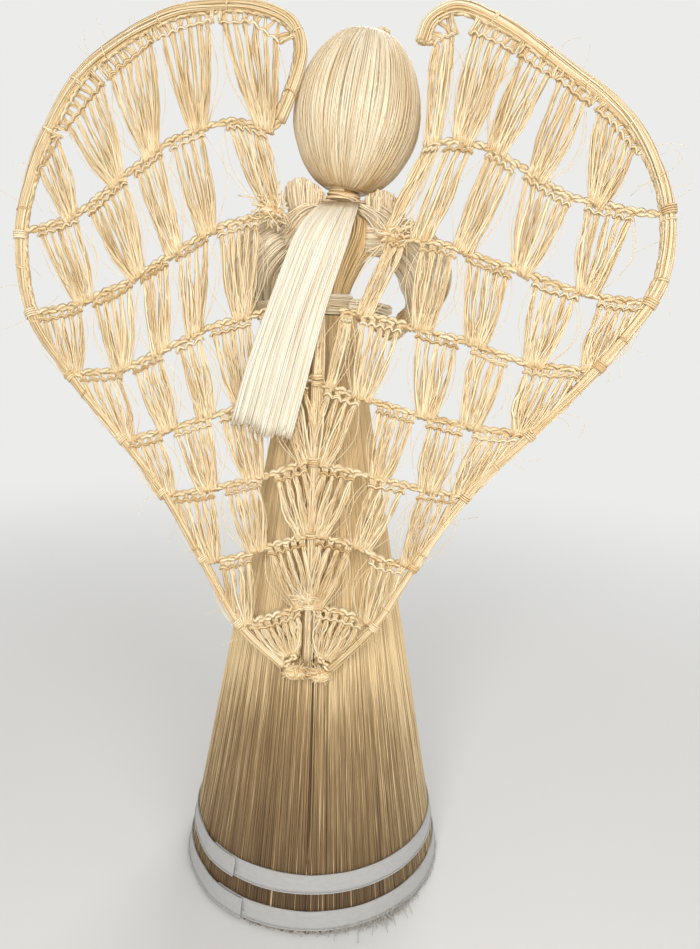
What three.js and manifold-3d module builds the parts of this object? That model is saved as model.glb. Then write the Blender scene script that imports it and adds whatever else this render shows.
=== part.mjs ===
// Angel doll of plant fibre: a cone skirt on a card liner, a bundled body, a round head with a hair
// tail, balloon sleeves, and two crocheted lace wings on wired rims, sewn together down the back.
// Millimetres, +Z up. The origin is the middle of the base ring; the back, with the wings, faces -Y.
import * as THREE from 'three';
import { mergeVertices } from 'three/addons/utils/BufferGeometryUtils.js';
import Module from 'manifold-3d';

const wasm = await Module();
wasm.setup();

// Clearances
const seatGap = 0.3; // between pieces that touch on the real doll
const overrun = 1; // how far a cutting tool passes the face that it cuts
const mergeWithin = 1e-4; // corners nearer to each other than this are one

// Skirt: fibre wrap over a card cone
const baseRadius = 49.4;
const skirtTopRadius = 10.6;
const skirtHeight = 209;
const wrapThickness = 1.2;
const wrapLift = 0.6; // the card edge that shows below the wrap
const cardThickness = 1.2;
const cardDrop = 4; // from the wrap's top down to the card's
const skirtSides = 40;

// Hem ribbons
const ribbonWidth = 6.3;
const ribbonThickness = 0.5;
const lowerRibbonHeight = 2;
const upperRibbonHeight = 14.4;
const ribbonLapTurn = THREE.MathUtils.degToRad(14); // the ends lie over each other by this
const lowerLapTurn = THREE.MathUtils.degToRad(232);
const upperLapTurn = THREE.MathUtils.degToRad(226);
const climbSteps = 2;

// Body: a fibre bundle whose lower end plugs the skirt
const plugDepth = 14;
const waistRadius = 8;
const chestWidth = 27;
const chestDepth = 18;
const bodyHeight = 38; // from the skirt's top to the neck
const chestDrop = 15; // from the neck to the place where the upper knot holds the wings
const shoulderDrop = 6; // from the neck to the top of the sleeves
const neckRadius = 4.4;
const neckOffset = 5; // how far the neck has come over to the right wing's side
const neckForward = 3;
const spineRadius = 1.2;
const spineReach = 45; // how far the wire runs down into the skirt, below the plug
const spineSides = 8;
const spineSteps = 24;
const bodySides = 20;
const bodiceSwellShares = [[0.2, 0.45], [0.45, 0.9], [0.62, 1], [0.8, 0.84], [0.92, 0.35], [1, 0]];

// Waist sash
const sashWidth = 7;
const sashThickness = 1.2;
const sashTailLength = 15;
const sashTailWidth = 5;
const sashTailDrop = 3;
const sashTailBack = 6; // behind the band's middle
const sashTailShares = [[0, 0], [0.35, 0.1], [0.7, 0.45], [1, 1]]; // [out, down]

// Head
const headWidth = 43;
const headHeight = 51.2;
const headTilt = THREE.MathUtils.degToRad(8);
const headSides = 20;
const ballArcSteps = 8;
const headShares = [[0.34, 0], [0.55, 0.05], [0.75, 0.14], [0.88, 0.24], [0.97, 0.34], [1, 0.44],
  [0.97, 0.58], [0.84, 0.74], [0.66, 0.86], [0.42, 0.95], [0, 1]]; // [out, up]
const ballRadius = 17;
const ballHeight = 46;
const ballCentreShare = 0.5; // of the head's height
const spineInBall = 14;

// Neck tie, cuff ties
const threadRadius = 0.45;
const threadPitch = 1.4;
const neckTieLoops = 2;
const cuffTieLoops = 3;
const loopSteps = 24;
const threadSides = 5;

// Hair tail
const tailWidth = 20;
const tailNeckWidth = 11;
const tailThickness = 2.4;
const tailNeckThickness = 3.6;
const tailLength = 76;
const tailLean = THREE.MathUtils.degToRad(16.5);
const tailBow = 1.5; // how far its middle bows out to the side that it leans to
const tailOffWing = 1.4; // clear behind the lace
const tailSides = 12;
const tailShares = [[0, 0, 0], [0.06, 0.3, 0.5], [0.13, 0.6, 0.9], [0.22, 0.78, 1], [0.45, 0.85, 1],
  [0.75, 1, 1], [1, 1, 1]]; // [down, spread from its neck's size to its full size, laid back onto the wings]

// Shoulder ruffs
const ruffHeight = 9.5; // from inside the sleeve's top to the cut ends
const ruffWidth = 12.5; // across the cut ends
const ruffFootWidth = 6;
const ruffDepth = 16; // front to back, at the cut ends
const ruffFootDepth = 11;
const ruffSides = 16;
const ruffShares = [[0, 0], [0.25, 0.4], [0.6, 0.85], [1, 1]]; // [up, spread from its foot's to its full size]

// Arms
const sleeveRadius = 9.2;
const sleeveRootRadius = 5.4;
const cuffRadius = 3.4;
const cuffLength = 6;
const sleeveOut = 30; // from the body's middle to the sleeve's fullest place
const sleeveDrop = 34; // from shoulder to cuff
const cuffForward = 13;
const sleeveSides = 12;
const sleeveSteps = 12;
const sleeveShares = [[0.3, 0, 0], [0.68, 0.02, 0], [0.96, 0.3, 0], [1, 0.62, 0.3], [0.9, 0.86, 0.7],
  [0.76, 1, 1]]; // [out, down, forward], of the three sizes above
const fullestShares = [0.35, 0.62]; // of the sleeve's length, from and to
const armWireRadius = 0.8;
const armSteps = 30;
const handRadius = 3;
const handReach = 29; // how far in front of the body the hands meet
const handSides = 8;
const handSteps = 10;
const handSwellShares = [[0.3, 0.8], [0.75, 1], [1, 0.4]]; // [along, of its radius]
const handApartShare = 0.7; // of its radius, from the middle
const handTurnShare = 0.6; // of the way to where they meet

// Wings: a lace panel inside a wired rim, all in one leaning plane
const wingReach = 106;
const wingRise = 217;
const wingHang = 158; // from the neck down to the tips
const tipOffSkirt = 2.8; // from the skirt back to the wings' plane, at the tips
const wingLeanShare = 0.143; // forward per unit of height
const rightSweepShare = 0.12; // backward per unit of reach, on the right wing
const laceThickness = 2;
const chainWidth = 2.4;
const strandWidth = 1.1;
const edgeBand = 1;
const leastHoleWidth = 1.2; // of the square that the smallest hole would fill
const trimReach = 9.6; // how far beyond the outline a hole may reach and still be cut back to it
const leastBendShare = 0.01; // the sine of a bend too slight to keep a point for
const slitsPerFan = 3;
const rimRadius = 2;
const rimWireRadius = 0.5;
const rimBoreRadius = 0.85;
const rimSides = 6;
const rimSteps = 36;
const triesPerStep = 5;
const rimTieThickness = 0.6;
const rimTieLength = 3;
const rimTieSides = 8;
const tipKnotRadius = 3;
const knotRadius = 2.8; // of the two that hold the seam cord to the body
const seamCordRadius = 0.9; // the wings fold about its two sides
const seamSteps = 12;

// Each wing's outline and rows, as shares of its reach and rise. A chain starts at the seam and ends at
// the rim. A fan is [from, to, knot]: where it spreads on the chain above and is tied on the one below.
// The rim's upper end stops short of the seam, and the lace's own edge goes on from there to one row's start.
const leftShares = {
  rim: [[0.075, 0.015], [0.22, 0.075], [0.35, 0.175], [0.48, 0.275], [0.62, 0.355], [0.8, 0.455],
    [0.925, 0.545], [0.96, 0.66], [0.92, 0.76], [0.865, 0.825], [0.78, 0.895], [0.66, 0.945],
    [0.555, 0.975], [0.46, 0.993], [0.345, 1], [0.25, 1], [0.165, 0.99], [0.11, 0.972], [0.085, 0.94],
    [0.1, 0.895], [0.145, 0.835]],
  rowAtRimEnd: 2,
  chains: [
    [[0.13, 0.94], [0.24, 0.975], [0.4, 0.975], [0.54, 0.95], [0.68, 0.895], [0.8, 0.83],
      [0.91, 0.745]],
    [[0.17, 0.82], [0.28, 0.835], [0.38, 0.825], [0.5, 0.8], [0.63, 0.75], [0.78, 0.69], [0.93, 0.665]],
    [[0.13, 0.705], [0.32, 0.68], [0.46, 0.64], [0.62, 0.59], [0.78, 0.555], [0.92, 0.54]],
    [[0.13, 0.56], [0.34, 0.53], [0.5, 0.49], [0.62, 0.46], [0.8, 0.45]],
    [[0.01, 0.46], [0.24, 0.41], [0.48, 0.37], [0.62, 0.35]],
    [[0.01, 0.335], [0.16, 0.305], [0.35, 0.28], [0.48, 0.27]],
    [[0.01, 0.22], [0.13, 0.2], [0.23, 0.18], [0.35, 0.17]],
    [[0.01, 0.11], [0.12, 0.09], [0.22, 0.075]],
    [[0.04, 0.03], [0.07, 0.035]],
  ],
  fans: [
    [[0.03, 0.27, 0.03], [0.3, 0.51, 0.3], [0.53, 0.71, 0.49], [0.73, 0.88, 0.63], [0.9, 0.99, 0.82]],
    [[0.02, 0.2, 0.04], [0.27, 0.43, 0.29], [0.45, 0.57, 0.42], [0.59, 0.77, 0.57], [0.79, 0.98, 0.78]],
    [[0.08, 0.26, 0.17], [0.28, 0.42, 0.39], [0.44, 0.56, 0.55], [0.58, 0.76, 0.73], [0.78, 0.98, 0.97]],
    [[0.01, 0.1, 0.12], [0.12, 0.33, 0.36], [0.35, 0.49, 0.55], [0.54, 0.7, 0.75], [0.73, 0.96, 0.97]],
    [[0.03, 0.2, 0.02], [0.28, 0.5, 0.38], [0.52, 0.74, 0.69], [0.78, 0.98, 0.97]],
    [[0.02, 0.27, 0.03], [0.32, 0.6, 0.48], [0.64, 0.95, 0.92]],
    [[0.02, 0.42, 0.02], [0.51, 0.85, 0.95]],
    [[0.04, 0.94, 0.5]],
  ],
};
const rightShares = {
  rim: [[0.075, 0.015], [0.21, 0.09], [0.33, 0.19], [0.48, 0.3], [0.65, 0.39], [0.83, 0.49],
    [0.965, 0.585], [0.997, 0.64], [0.992, 0.71], [0.95, 0.77], [0.89, 0.82], [0.81, 0.86], [0.7, 0.9],
    [0.56, 0.95], [0.45, 0.98], [0.385, 0.99], [0.335, 0.985], [0.295, 0.97], [0.276, 0.943]],
  rowAtRimEnd: 1,
  chains: [
    [[0.3, 0.935], [0.37, 0.955], [0.47, 0.945], [0.57, 0.915], [0.7, 0.875], [0.81, 0.83], [0.91, 0.775]],
    [[0.295, 0.8], [0.4, 0.805], [0.51, 0.79], [0.63, 0.75], [0.72, 0.725], [0.85, 0.71], [0.96, 0.7]],
    [[0.19, 0.67], [0.36, 0.66], [0.48, 0.64], [0.6, 0.62], [0.72, 0.6], [0.85, 0.585], [0.97, 0.58]],
    [[0.06, 0.56], [0.19, 0.55], [0.31, 0.535], [0.45, 0.52], [0.63, 0.49], [0.83, 0.485]],
    [[0.01, 0.45], [0.15, 0.43], [0.32, 0.41], [0.49, 0.395], [0.64, 0.39]],
    [[0.01, 0.33], [0.18, 0.315], [0.34, 0.3], [0.47, 0.295]],
    [[0.01, 0.22], [0.14, 0.21], [0.22, 0.19], [0.32, 0.185]],
    [[0.01, 0.11], [0.12, 0.105], [0.2, 0.09]],
    [[0.04, 0.03], [0.07, 0.035]],
  ],
  fans: [
    [[0.02, 0.12, 0.04], [0.19, 0.4, 0.17], [0.42, 0.58, 0.32], [0.6, 0.76, 0.5], [0.79, 0.98, 0.75]],
    [[0.01, 0.08, 0.01], [0.1, 0.24, 0.14], [0.28, 0.42, 0.3], [0.44, 0.67, 0.52], [0.7, 0.93, 0.76]],
    [[0.02, 0.1, 0.1], [0.13, 0.29, 0.33], [0.31, 0.5, 0.54], [0.56, 0.75, 0.76], [0.8, 0.98, 0.97]],
    [[0.01, 0.06, 0.05], [0.08, 0.27, 0.21], [0.3, 0.49, 0.52], [0.52, 0.68, 0.73], [0.72, 0.95, 0.97]],
    [[0.02, 0.22, 0.02], [0.28, 0.49, 0.42], [0.52, 0.72, 0.75], [0.75, 0.98, 0.97]],
    [[0.02, 0.29, 0.03], [0.35, 0.63, 0.48], [0.68, 0.97, 0.97]],
    [[0.02, 0.42, 0.02], [0.55, 0.95, 0.95]],
    [[0.04, 0.94, 0.5]],
  ],
};
const rimTieCount = 7; // on each wing, where the rows of chain reach the rim

const fibre = (color) => new THREE.MeshStandardMaterial({ color, roughness: 0.6, metalness: 0 });
const material = {
  card: fibre(0x8a6a45),
  skirt: fibre(0xa98a5c),
  ribbon: fibre(0xe9e6dd),
  pale: fibre(0xe2c793),
  lace: fibre(0xe0bd83),
  gold: fibre(0xc9a465),
  ball: fibre(0xd8d0bf),
  thread: fibre(0xd9bd86),
  wire: new THREE.MeshStandardMaterial({ color: 0x8c8c8c, roughness: 0.4, metalness: 0.9 }),
};

const doll = new THREE.Group();

// Adds a named piece, with its faces pointing out.
function add(name, geometry, finish) {
  const mesh = new THREE.Mesh(facingOut(geometry), finish);
  mesh.name = name;
  doll.add(mesh);
}

// Merges a geometry's shared corners and turns its faces outward.
function facingOut(geometry) {
  const bare = new THREE.BufferGeometry();
  bare.setAttribute('position', geometry.getAttribute('position').clone());
  if (geometry.index) bare.setIndex(geometry.index.clone());
  const merged = mergeVertices(bare, mergeWithin);
  const corners = merged.getAttribute('position');
  const order = Array.from(merged.index.array);
  const [a, b, c] = [new THREE.Vector3(), new THREE.Vector3(), new THREE.Vector3()];
  const faces = [];
  let volume = 0;
  for (let i = 0; i < order.length; i += 3) {
    const [p, q, r] = order.slice(i, i + 3);
    if (p === q || q === r || r === p) continue;
    faces.push([p, q, r]);
    a.fromBufferAttribute(corners, p);
    b.fromBufferAttribute(corners, q);
    c.fromBufferAttribute(corners, r);
    volume += a.dot(b.cross(c));
  }
  merged.setIndex(faces.flatMap(([p, q, r]) => (volume < 0 ? [p, r, q] : [p, q, r])));
  return merged;
}

// Turns a geometry into a solid for a cut or a join.
function solid(geometry) {
  const shape = facingOut(geometry);
  const vertProperties = new Float32Array(shape.getAttribute('position').array);
  const triVerts = new Uint32Array(shape.index.array);
  return new wasm.Manifold(new wasm.Mesh({ numProp: 3, vertProperties, triVerts }));
}

// Cuts each tool out of a geometry.
function cut(geometry, ...tools) {
  let left = solid(geometry);
  for (const tool of tools) left = left.subtract(solid(tool));
  const mesh = left.getMesh();
  const result = new THREE.BufferGeometry();
  result.setAttribute('position', new THREE.Float32BufferAttribute(mesh.vertProperties, mesh.numProp));
  result.setIndex(Array.from(mesh.triVerts));
  return result;
}

// Closes a skin through rings of equal counts of points, capped at both ends, or joined end to end.
function loft(rings, joined = false) {
  const sides = rings[0].length;
  const places = rings.flat().flatMap((point) => point.toArray());
  const faces = [];
  const spans = joined ? rings.length : rings.length - 1;
  for (let i = 0; i < spans; i += 1) {
    const next = (i + 1) % rings.length;
    for (let j = 0; j < sides; j += 1) {
      const side = (j + 1) % sides;
      faces.push(i * sides + j, i * sides + side, next * sides + side);
      faces.push(i * sides + j, next * sides + side, next * sides + j);
    }
  }
  const last = (rings.length - 1) * sides;
  for (let j = 1; j < sides - 1 && !joined; j += 1) {
    faces.push(0, j + 1, j);
    faces.push(last, last + j, last + j + 1);
  }
  const geometry = new THREE.BufferGeometry();
  geometry.setAttribute('position', new THREE.Float32BufferAttribute(places, 3));
  geometry.setIndex(faces);
  return geometry;
}

// The points of a ring round a centre, from two half axes.
function ring(centre, across, along, sides) {
  return Array.from({ length: sides }, (_, i) => {
    const turn = (2 * Math.PI * i) / sides;
    return centre.clone().addScaledVector(across, Math.cos(turn)).addScaledVector(along, Math.sin(turn));
  });
}

// A round tube along a curve, with a bore if one is given.
function tube(curve, radius, sides, steps, boreRadius = 0) {
  const circle = (size) => Array.from({ length: sides }, (_, i) => {
    const turn = (2 * Math.PI * i) / sides;
    return new THREE.Vector2(size * Math.cos(turn), size * Math.sin(turn));
  });
  const section = new THREE.Shape(circle(radius));
  if (boreRadius > 0) section.holes.push(new THREE.Path(circle(boreRadius)));
  return new THREE.ExtrudeGeometry(section, { steps, extrudePath: curve, bevelEnabled: false });
}

// A tube that swells and tapers: its radius is read off at each step of the curve.
function swelling(curve, radiusAt, sides, steps) {
  const { normals, binormals } = curve.computeFrenetFrames(steps, false);
  return loft(normals.map((normal, i) => {
    const size = radiusAt(i / steps);
    return ring(curve.getPointAt(i / steps), normal.clone().multiplyScalar(size),
      binormals[i].clone().multiplyScalar(size), sides);
  }));
}

// Reads a value off a list of [place, value] pairs, eased between them.
function eased(pairs, place) {
  const next = pairs.findIndex(([at]) => at >= place);
  if (next <= 0) return pairs[next === 0 ? 0 : pairs.length - 1][1];
  const [[from, low], [to, high]] = [pairs[next - 1], pairs[next]];
  return THREE.MathUtils.lerp(low, high, THREE.MathUtils.smoothstep(place, from, to));
}

// Reads a value off a list of [place, value] pairs, in straight lines between them.
function straight(pairs, place) {
  const next = Math.max(1, pairs.findIndex(([at]) => at >= place));
  const [[from, low], [to, high]] = [pairs[next - 1], pairs[next]];
  return THREE.MathUtils.mapLinear(place, from, to, low, high);
}

const skirtSlope = (baseRadius - skirtTopRadius) / skirtHeight;
const wrapRadius = (height) => baseRadius - skirtSlope * height;
const cardOuter = (height) => wrapRadius(height) - wrapThickness - seatGap;
const cardInner = (height) => cardOuter(height) - cardThickness;
const cardHeight = skirtHeight - cardDrop;

// A cone shell between two heights, standing on Z.
function coneShell(outer, inner, bottom, top) {
  const profile = [[inner(bottom), bottom], [outer(bottom), bottom], [outer(top), top], [inner(top), top],
    [inner(bottom), bottom]];
  return turned(profile, skirtSides);
}

// A lathe about Z from [radius, height] pairs.
function turned(profile, sides) {
  const points = profile.map(([radius, height]) => new THREE.Vector2(radius, height));
  return new THREE.LatheGeometry(points, sides).rotateX(Math.PI / 2);
}

function buildSkirt() {
  add('skirt_card_cone', coneShell(cardOuter, cardInner, 0, cardHeight), material.card);
  add('skirt_fibre_wrap', coneShell(wrapRadius, (height) => wrapRadius(height) - wrapThickness, wrapLift,
    skirtHeight), material.skirt);
  add('hem_ribbon_lower', ribbon(lowerRibbonHeight, lowerLapTurn), material.ribbon);
  add('hem_ribbon_upper', ribbon(upperRibbonHeight, upperLapTurn), material.ribbon);
}

// A ribbon round the hem, whose last stretch climbs over its first.
function ribbon(bottom, lapTurn) {
  const stepTurn = (2 * Math.PI) / skirtSides;
  const steps = skirtSides + Math.ceil(ribbonLapTurn / stepTurn);
  const lapRise = ribbonThickness + seatGap;
  return loft(Array.from({ length: steps + 1 }, (_, i) => {
    const turn = Math.round(lapTurn / stepTurn) * stepTurn + i * stepTurn;
    const rise = lapRise * THREE.MathUtils.smoothstep(i, skirtSides - climbSteps, skirtSides);
    return [[0, 0], [1, 0], [1, 1], [0, 1]].map(([out, up]) => {
      const height = bottom + up * ribbonWidth;
      const radius = wrapRadius(height) + seatGap + rise + out * ribbonThickness;
      return new THREE.Vector3(radius * Math.cos(turn), radius * Math.sin(turn), height);
    });
  }));
}

// Body and head
const neckHeight = skirtHeight + bodyHeight;
const shoulderHeight = neckHeight - shoulderDrop;
const chestHeight = neckHeight - chestDrop;
const sashBottom = skirtHeight + seatGap;
const sashTop = sashBottom + sashWidth;
const leanStart = sashTop + sashThickness;

// The middle of the body at a height: it leans over towards the neck.
function bodyMiddle(height) {
  const share = THREE.MathUtils.smoothstep(height, leanStart, neckHeight);
  return new THREE.Vector3(neckOffset * share, neckForward * share, height);
}

const neck = bodyMiddle(neckHeight);
const headUp = new THREE.Vector3(Math.sin(headTilt), 0, Math.cos(headTilt));
const headAcross = new THREE.Vector3(Math.cos(headTilt), 0, -Math.sin(headTilt));
const neckTieHeight = neckTieLoops * threadPitch + 2 * threadRadius;
const neckStub = neckTieHeight + 2 * seatGap; // the bare neck that the tie is wound on
const headFoot = neck.clone().addScaledVector(headUp, neckStub);
const ballCentre = headFoot.clone().addScaledVector(headUp, headHeight * ballCentreShare);

const bodiceFoot = skirtHeight - plugDepth;
const spine = new THREE.CatmullRomCurve3([
  new THREE.Vector3(0, 0, bodiceFoot - spineReach),
  new THREE.Vector3(0, 0, skirtHeight),
  bodyMiddle(sashTop),
  bodyMiddle(chestHeight),
  neck,
  headFoot,
  ballCentre.clone().addScaledVector(headUp, spineInBall - ballHeight / 2),
]);

const plugRadii = [
  [bodiceFoot, cardInner(bodiceFoot) - seatGap],
  [cardHeight, cardInner(cardHeight) - seatGap],
  [sashBottom, waistRadius],
  [sashTop, waistRadius],
];

// The body bundle, as thick as its clearance asks: a plug, a waist, a chest and a neck.
function bodice(clearance) {
  const lower = plugRadii.map(([height, radius]) => {
    const size = radius + clearance;
    return ring(new THREE.Vector3(0, 0, height), new THREE.Vector3(size, 0, 0), new THREE.Vector3(0, size, 0),
      bodySides);
  });
  const upper = bodiceSwellShares.map(([share, swell]) => {
    const height = THREE.MathUtils.lerp(sashTop, neckHeight, share);
    const least = THREE.MathUtils.lerp(waistRadius, neckRadius, share);
    const half = (size) => THREE.MathUtils.lerp(least, size / 2, swell) + clearance;
    return ring(bodyMiddle(height), new THREE.Vector3(half(chestWidth), 0, 0),
      new THREE.Vector3(0, half(chestDepth), 0), bodySides);
  });
  const stubRadius = neckRadius + clearance;
  const stub = ring(headFoot.clone().addScaledVector(headUp, -seatGap),
    headAcross.clone().multiplyScalar(stubRadius), new THREE.Vector3(0, stubRadius, 0), bodySides);
  return loft([...lower, ...upper, stub]);
}

const armWire = new THREE.CatmullRomCurve3([
  ...sleevePlaces(-1).reverse(),
  bodyMiddle(shoulderHeight - sleeveRootRadius)
    .add(new THREE.Vector3(0, spineRadius + armWireRadius + 2 * seatGap, 0)),
  ...sleevePlaces(1),
]);

function buildBody() {
  const spineBore = tube(spine, spineRadius + seatGap, spineSides, spineSteps);
  const armBore = tube(armWire, armWireRadius + seatGap, threadSides, armSteps);
  add('spine_wire', tube(spine, spineRadius, spineSides, spineSteps), material.wire);
  add('bodice_bundle', cut(bodice(0), spineBore, armBore), material.gold);
  add('arm_wire', tube(armWire, armWireRadius, threadSides, armSteps), material.wire);
  const inner = waistRadius + seatGap;
  const outer = inner + sashThickness;
  add('waist_sash', turned([[inner, sashBottom], [outer, sashBottom], [outer, sashTop], [inner, sashTop],
    [inner, sashBottom]], bodySides), material.pale);
  const start = Math.sqrt((outer + seatGap) ** 2 - (sashTailBack - sashThickness) ** 2);
  add('sash_tail_left', sashTail(-1, start), material.pale);
  add('sash_tail_right', sashTail(1, start), material.pale);
}

// A sash end that leaves the band at the side and droops.
function sashTail(side, start) {
  return loft(sashTailShares.map(([out, drop]) => {
    const middle = new THREE.Vector3(side * (start + out * sashTailLength), -sashTailBack,
      (sashBottom + sashTop) / 2 - drop * sashTailDrop);
    return ring(middle, new THREE.Vector3(0, sashThickness, 0), new THREE.Vector3(0, 0, sashTailWidth / 2),
      rimSides);
  }));
}

// Head: a ball inside a cover of hair, both open towards the neck.
function buildHead() {
  const outer = headShares.map(([out, up]) => [out * headWidth / 2, up * headHeight]);
  const boreRadius = spineRadius + 2 * seatGap;
  const ballMiddle = headHeight * ballCentreShare;
  const mouth = (clearance) => Math.PI - Math.asin(boreRadius / (ballRadius + clearance));
  const arc = (clearance) => Array.from({ length: ballArcSteps + 1 }, (_, i) => {
    const turn = (mouth(clearance) * i) / ballArcSteps;
    return [(ballRadius + clearance) * Math.sin(turn),
      ballMiddle + (ballHeight / 2 + clearance) * Math.cos(turn)];
  });
  const cover = [...outer, ...arc(seatGap), [boreRadius, 0], outer[0]];
  const socketTop = ballMiddle - ballHeight / 2 + spineInBall + seatGap;
  const ball = [...arc(0), [boreRadius, socketTop], [0, socketTop]];
  const seated = (profile) => turned(profile, headSides).rotateY(headTilt)
    .translate(headFoot.x, headFoot.y, headFoot.z);
  add('head_hair', seated(cover), material.pale);
  add('head_ball', seated(ball), material.ball);
}

// A thread wound round a post, from its foot: one unbroken helix.
function winding(foot, up, radius, loops) {
  const across = new THREE.Vector3(1, 0, 0).addScaledVector(up, -up.x).normalize();
  const along = new THREE.Vector3().crossVectors(up, across);
  const steps = loops * loopSteps;
  const middles = Array.from({ length: steps + 1 }, (_, i) => {
    const turn = (2 * Math.PI * i) / loopSteps;
    return foot.clone().addScaledVector(up, threadRadius + (threadPitch * i) / loopSteps)
      .addScaledVector(across, radius * Math.cos(turn)).addScaledVector(along, radius * Math.sin(turn));
  });
  const rings = middles.map((middle, i) => {
    const turn = (2 * Math.PI * i) / loopSteps;
    const outward = across.clone().multiplyScalar(Math.cos(turn)).addScaledVector(along, Math.sin(turn));
    return ring(middle, outward.multiplyScalar(threadRadius), up.clone().multiplyScalar(threadRadius),
      threadSides);
  });
  return { geometry: loft(rings), middles };
}

// The least room between the turns of a winding, measured on its own points.
function leastGap(middles) {
  let least = Infinity;
  middles.forEach((point, i) => {
    for (let j = i + loopSteps / 2; j < middles.length; j += 1) {
      least = Math.min(least, point.distanceTo(middles[j]) - 2 * threadRadius);
    }
  });
  return least;
}

function addWinding(name, foot, up, radius, loops) {
  const { geometry, middles } = winding(foot, up, radius + seatGap + threadRadius, loops);
  console.log(`${name}: least gap to itself ${leastGap(middles).toFixed(2)} mm`);
  add(name, geometry, material.thread);
}

const wingTipHeight = neckHeight - wingHang;
const wingBack = wrapRadius(wingTipHeight) + tipOffSkirt;

// The wing plane's middle at a height and a distance out.
function wingDepth(height, out, sweep) {
  return wingLeanShare * (height - wingTipHeight) - wingBack - sweep * Math.max(0, out);
}

function buildHair() {
  addWinding('neck_tie', neck.clone().addScaledVector(headUp, seatGap), headUp, neckRadius, neckTieLoops);
  const top = tailTop();
  const tail = tailShares.map(([down, spread, back]) => {
    const height = top.z - down * tailLength;
    const width = THREE.MathUtils.lerp(tailNeckWidth, tailWidth, spread);
    const thick = THREE.MathUtils.lerp(tailNeckThickness, tailThickness, spread);
    const lying = wingDepth(height, 0, 0) - (laceThickness + tailThickness) / 2 - tailOffWing;
    const aside = Math.tan(tailLean) * down * tailLength + tailBow * Math.sin(Math.PI * down);
    const middle = new THREE.Vector3(top.x - aside, THREE.MathUtils.lerp(top.y, lying, back), height);
    const across = new THREE.Vector3(width / 2, 0, -Math.sin(tailLean) * width / 2 * back);
    return ring(middle, across, new THREE.Vector3(0, thick / 2, 0), tailSides);
  });
  add('hair_tail', loft(tail), material.pale);
}

// Where the hair tail leaves the neck tie, at the back of the neck.
function tailTop() {
  return new THREE.Vector3(neck.x, neck.y - neckRadius - seatGap - tailNeckThickness / 2, neck.z - seatGap);
}

// A brush of cut ends that stands on one shoulder, against the neck. It leans with the head.
function ruff(side) {
  const inner = neckRadius + 2 * (seatGap + threadRadius) + seatGap;
  const middle = new THREE.Vector3(neck.x + side * (inner + ruffWidth / 2), 0, shoulderHeight);
  middle.z -= (middle.x - neck.x) * Math.tan(headTilt);
  return loft(ruffShares.map(([up, spread]) => ring(
    middle.clone().addScaledVector(headUp, up * ruffHeight),
    headAcross.clone().multiplyScalar(THREE.MathUtils.lerp(ruffFootWidth, ruffWidth, spread) / 2),
    new THREE.Vector3(0, THREE.MathUtils.lerp(ruffFootDepth, ruffDepth, spread) / 2, 0),
    ruffSides,
  )));
}

// The line down the middle of a sleeve, from its root at the shoulder to its cuff.
function sleevePlaces(side) {
  return sleeveShares.map(([out, down, forward]) => new THREE.Vector3(
    bodyMiddle(shoulderHeight).x + side * out * sleeveOut,
    forward * cuffForward,
    shoulderHeight - sleeveRootRadius - down * (sleeveDrop - sleeveRootRadius),
  ));
}

function buildArms() {
  const body = bodice(seatGap);
  const armBore = tube(armWire, armWireRadius + seatGap, threadSides, armSteps);
  for (const [name, side] of [['left', -1], ['right', 1]]) {
    const path = new THREE.CatmullRomCurve3(sleevePlaces(side));
    const length = path.getLength();
    const cuffStart = 1 - cuffLength / length;
    const radii = [[0, sleeveRootRadius], ...fullestShares.map((share) => [share, sleeveRadius]),
      [cuffStart, cuffRadius], [1, cuffRadius]];
    const sleeve = swelling(path, (share) => eased(radii, share), sleeveSides, sleeveSteps);
    add(`sleeve_${name}`, cut(sleeve, body, armBore), material.lace);
    const roomySleeve = swelling(path, (share) => eased(radii, share) + seatGap, sleeveSides, sleeveSteps);
    add(`ruff_${name}`, cut(ruff(side), body, roomySleeve), material.pale);
    const cuff = path.getPointAt(1);
    const outward = path.getTangentAt(1);
    const tieLength = cuffTieLoops * threadPitch + 2 * threadRadius;
    const tieFoot = cuff.clone().addScaledVector(outward, -tieLength - seatGap);
    addWinding(`cuff_tie_${name}`, tieFoot, outward, cuffRadius, cuffTieLoops);
    add(`hand_${name}`, hand(side, cuff.clone().addScaledVector(outward, seatGap), outward), material.lace);
  }
}

// A hand of bundled ends, from the cuff to where both meet in front.
function hand(side, start, outward) {
  const meetingOut = bodyMiddle(shoulderHeight).x + side * handRadius * handApartShare;
  const meeting = new THREE.Vector3(meetingOut, handReach, start.z + handRadius);
  const bend = start.clone().addScaledVector(outward, cuffForward / 2);
  const path = new THREE.CatmullRomCurve3([start, bend, start.clone().lerp(meeting, handTurnShare), meeting]);
  const radii = [[0, cuffRadius], ...handSwellShares.map(([along, share]) => [along, share * handRadius])];
  return swelling(path, (along) => eased(radii, along), handSteps, handSides);
}

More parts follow.
